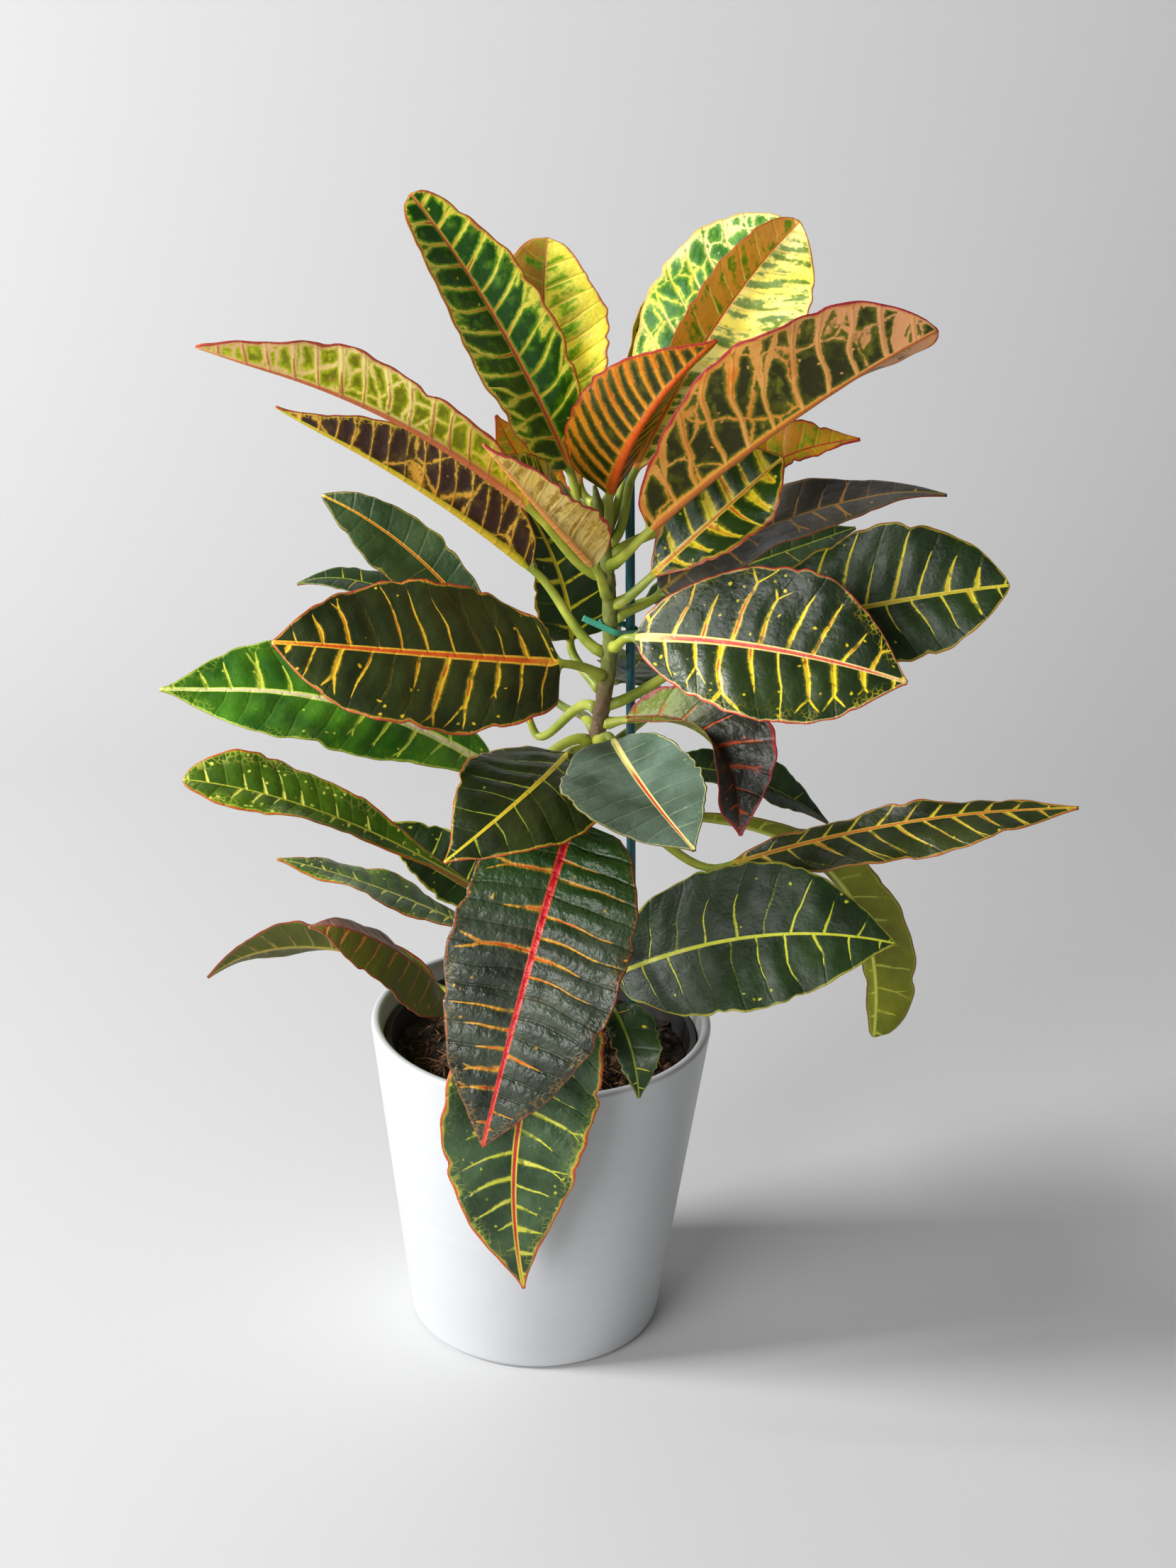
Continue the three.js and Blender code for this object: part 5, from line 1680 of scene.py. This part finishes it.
@dataclass
class Tie:
    """The plastic tie: one flat strap that starts in a free tail, passes before the stem and rounds the stake.

    Sizes are in millimetres, the tilt and the wrap in degrees.
    """

    stem: Stem
    stake: Stake
    height: float = 2.8
    middle: float = 348.0
    tilt: float = 24.0
    band: float = 0.9
    slack: float = 0.45
    play: float = 0.9
    tail: float = 8.0
    squareness: float = 0.35
    wrap: tuple[float, float] = (-90, 225)
    ways: int = 240
    tail_steps: int = 12
    steps: int = 150
    section_sides: int = 24

    def path(self) -> np.ndarray:
        """Strap's middle line, flat: the tail, then the hull of two circles, nearest point for each direction.

        Returns:
            Evenly spaced points (x, y) in millimetres from the stem's axis.
        """
        point, stem_radius, _ = self.stem.place(self.middle)
        x, y = (self.stake.at(self.middle) - point)[:2]
        centres = np.array([[-self.play, 0], [self.play, 0], [x - self.play, y], [x + self.play, y]])
        radii = np.array([stem_radius, self.stake.radius]).repeat(2) + (self.slack + self.band / 2)
        angle = np.radians(np.linspace(*self.wrap, self.ways))
        ways = np.stack([np.cos(angle), np.sin(angle)], axis=1)
        best = np.argmax(ways @ centres.T + radii, axis=1)
        loop = centres[best] + ways * radii[best][:, None]
        tail = np.linspace(-self.tail - radii[0], loop[0, 0] - 0.3, self.tail_steps)
        line = np.concatenate([np.stack([tail, np.full(self.tail_steps, loop[0, 1])], axis=1), loop])
        length = steps_along(line)
        even = np.linspace(0, length[-1], self.steps)
        return np.stack([np.interp(even, length, line[:, k]) for k in range(2)], axis=1)

    def squared(self, wave: np.ndarray) -> np.ndarray:
        """Flatten a wave of -1 to 1 toward its ends, which turns a circle into a rounded square."""
        return np.sign(wave) * np.abs(wave) ** self.squareness

    def build(self) -> Piece:
        """Sweep a rounded flat section along the path and tilt it toward the stake.

        Returns:
            The tie piece.
        """
        line = self.path()
        along = unit(np.gradient(line, axis=0))
        side = np.stack([along[:, 1], -along[:, 0]], axis=1)
        angle = turns(self.section_sides)
        thick = self.squared(np.cos(angle)) * self.band / 2
        tall = self.squared(np.sin(angle)) * self.height / 2
        flat = line[:, None] + side[:, None] * thick[None, :, None]
        points = np.concatenate([flat, np.broadcast_to(tall, flat.shape[:2])[..., None]], axis=-1)
        tilt = math.radians(self.tilt)
        points[..., 0] /= math.cos(tilt)
        turn = np.array([[math.cos(tilt), 0, math.sin(tilt)], [0, 1, 0], [-math.sin(tilt), 0, math.cos(tilt)]])
        points = points @ turn.T + self.stem.place(self.middle)[0]
        count, size = points.shape[:2]
        faces = ring_faces(count, size).tolist()
        faces += [list(range(size))[::-1], list(range((count - 1) * size, count * size))]
        return dress(make_mesh("tie_strap", points, faces), STRAP.material(), "tie_plastic", "tie")


@dataclass
class Studio:
    """Pale floor, soft lights and the camera at the photograph's viewing angle.

    Lengths are metres and angles degrees; the sensor is in millimetres and the focal length in pixels. Each
    light has its name, place, aim, side and power in watts.
    """

    side: float = 4.0
    back: float = 0.6
    corner: float = 0.1
    sweep_bend: float = 0.9
    wall: float = 4.0
    corner_steps: int = 12
    bend_steps: int = 25
    eye: Point = (0.0, -1.014, 0.675)
    yaw: float = 1.05
    pitch: float = 21.6
    roll: float = 1.75
    focal_px: float = 3400.0
    image_height: int = 2212
    sensor: float = 36.0
    lights: tuple[tuple[str, Point, Point, float, float], ...] = (
        ("window_left", (-2.65, -0.4, 1.7), (0, 0, 0.2), 1.0, 120.0),
        ("window_front", (-1.2, -1.7, 0.9), (0, 0, 0.3), 1.2, 35.0),
    )
    air: float = 0.07

    def floor(self) -> None:
        """Lay a seamless paper room: a level floor, then on all sides a quarter circle up into a wall.

        A point is the centre of its corner plus (corner radius + bend sin t) toward its turn, at the height
        bend - bend cos t. The last ring is the top of the walls.
        """
        turn = np.concatenate([np.linspace(q, q + 1, self.corner_steps) for q in range(4)]) * np.pi / 2
        quarter = np.arange(4).repeat(self.corner_steps)
        across = np.where((quarter == 0) | (quarter == 3), self.side, -self.side)
        deep = np.where(quarter < 2, self.back, -self.side)
        rise = np.linspace(0, np.pi / 2, self.bend_steps)
        out = self.corner + self.sweep_bend * np.append(np.sin(rise), 1)[:, None]
        height = np.append(self.sweep_bend * (1 - np.cos(rise)), self.wall)[:, None] + 0 * across
        points = np.stack([across + out * np.cos(turn), deep + out * np.sin(turn), height], axis=-1)
        faces = ring_faces(len(height), len(turn)).tolist() + [list(range(len(turn)))[::-1]]
        piece = make_mesh("studio_floor", points / MM, faces)
        # Seamless paper: matt, so that the lights leave no gloss on it.
        material, tree = new_material("paper_backdrop_pale_matt")
        close_material(tree, linear("#d0d0d0"), 0.9)
        piece.data.materials.append(material)

    def light(self, name: str, place: Point, aim: Point, size: float, power: float) -> None:
        """Hang one square soft light.

        Args:
            name: Its name.
            place: Where it hangs, in metres.
            aim: Where it points.
            size: Side in metres.
            power: Watts.
        """
        lamp = bpy.data.lights.new(name, "AREA")
        lamp.size, lamp.energy = size, power
        piece = bpy.data.objects.new(name, lamp)
        piece.location = place
        piece.rotation_euler = (Vector(aim) - Vector(place)).to_track_quat("-Z", "Y").to_euler()
        bpy.context.scene.collection.objects.link(piece)

    def camera(self) -> None:
        """Set the camera: forward from yaw and pitch, right and up turned by the roll."""
        yaw, pitch, roll = (math.radians(a) for a in (self.yaw, self.pitch, self.roll))
        forward = Vector((math.sin(yaw) * math.cos(pitch), math.cos(yaw) * math.cos(pitch), -math.sin(pitch)))
        level = forward.cross(Vector((0, 0, 1))).normalized()
        above = level.cross(forward)
        right = level * math.cos(roll) + above * math.sin(roll)
        up = above * math.cos(roll) - level * math.sin(roll)
        data = bpy.data.cameras.new("studio_camera")
        data.sensor_width = self.sensor
        data.lens = self.focal_px * self.sensor / self.image_height
        camera = bpy.data.objects.new("studio_camera", data)
        turn = Matrix((right, up, -forward)).transposed()
        camera.matrix_world = Matrix.Translation(self.eye) @ turn.to_4x4()
        bpy.context.scene.collection.objects.link(camera)
        bpy.context.scene.camera = camera

    def build(self) -> None:
        """Lay the floor, hang the lights and set the camera."""
        self.floor()
        self.camera()
        for lamp in self.lights:
            self.light(*lamp)
        world = bpy.data.worlds.new("studio_air")
        world.use_nodes = True
        air = world.node_tree.nodes["Background"].inputs
        air["Color"].default_value = linear("#eef0f2")
        air["Strength"].default_value = self.air
        bpy.context.scene.view_settings.view_transform = "Standard"
        bpy.context.scene.world = world


def main() -> None:
    """Build the plant, its pots and the studio."""
    logging.basicConfig(level=logging.INFO, format="%(name)s: %(message)s")
    stem, stake = Stem(), Stake()
    foliage = Foliage(stem)
    pieces = [CoverPot().build(), GrowPot().build(), *Soil().build(), stem.build(foliage.scars()), stake.build()]
    pieces.append(Tie(stem, stake).build())
    for piece in pieces:
        log.info("%s: %d faces", piece.name, len(piece.data.polygons))
    foliage.build()
    Studio().build()
    bpy.context.view_layer.update()


if __name__ == "__main__":
    main()
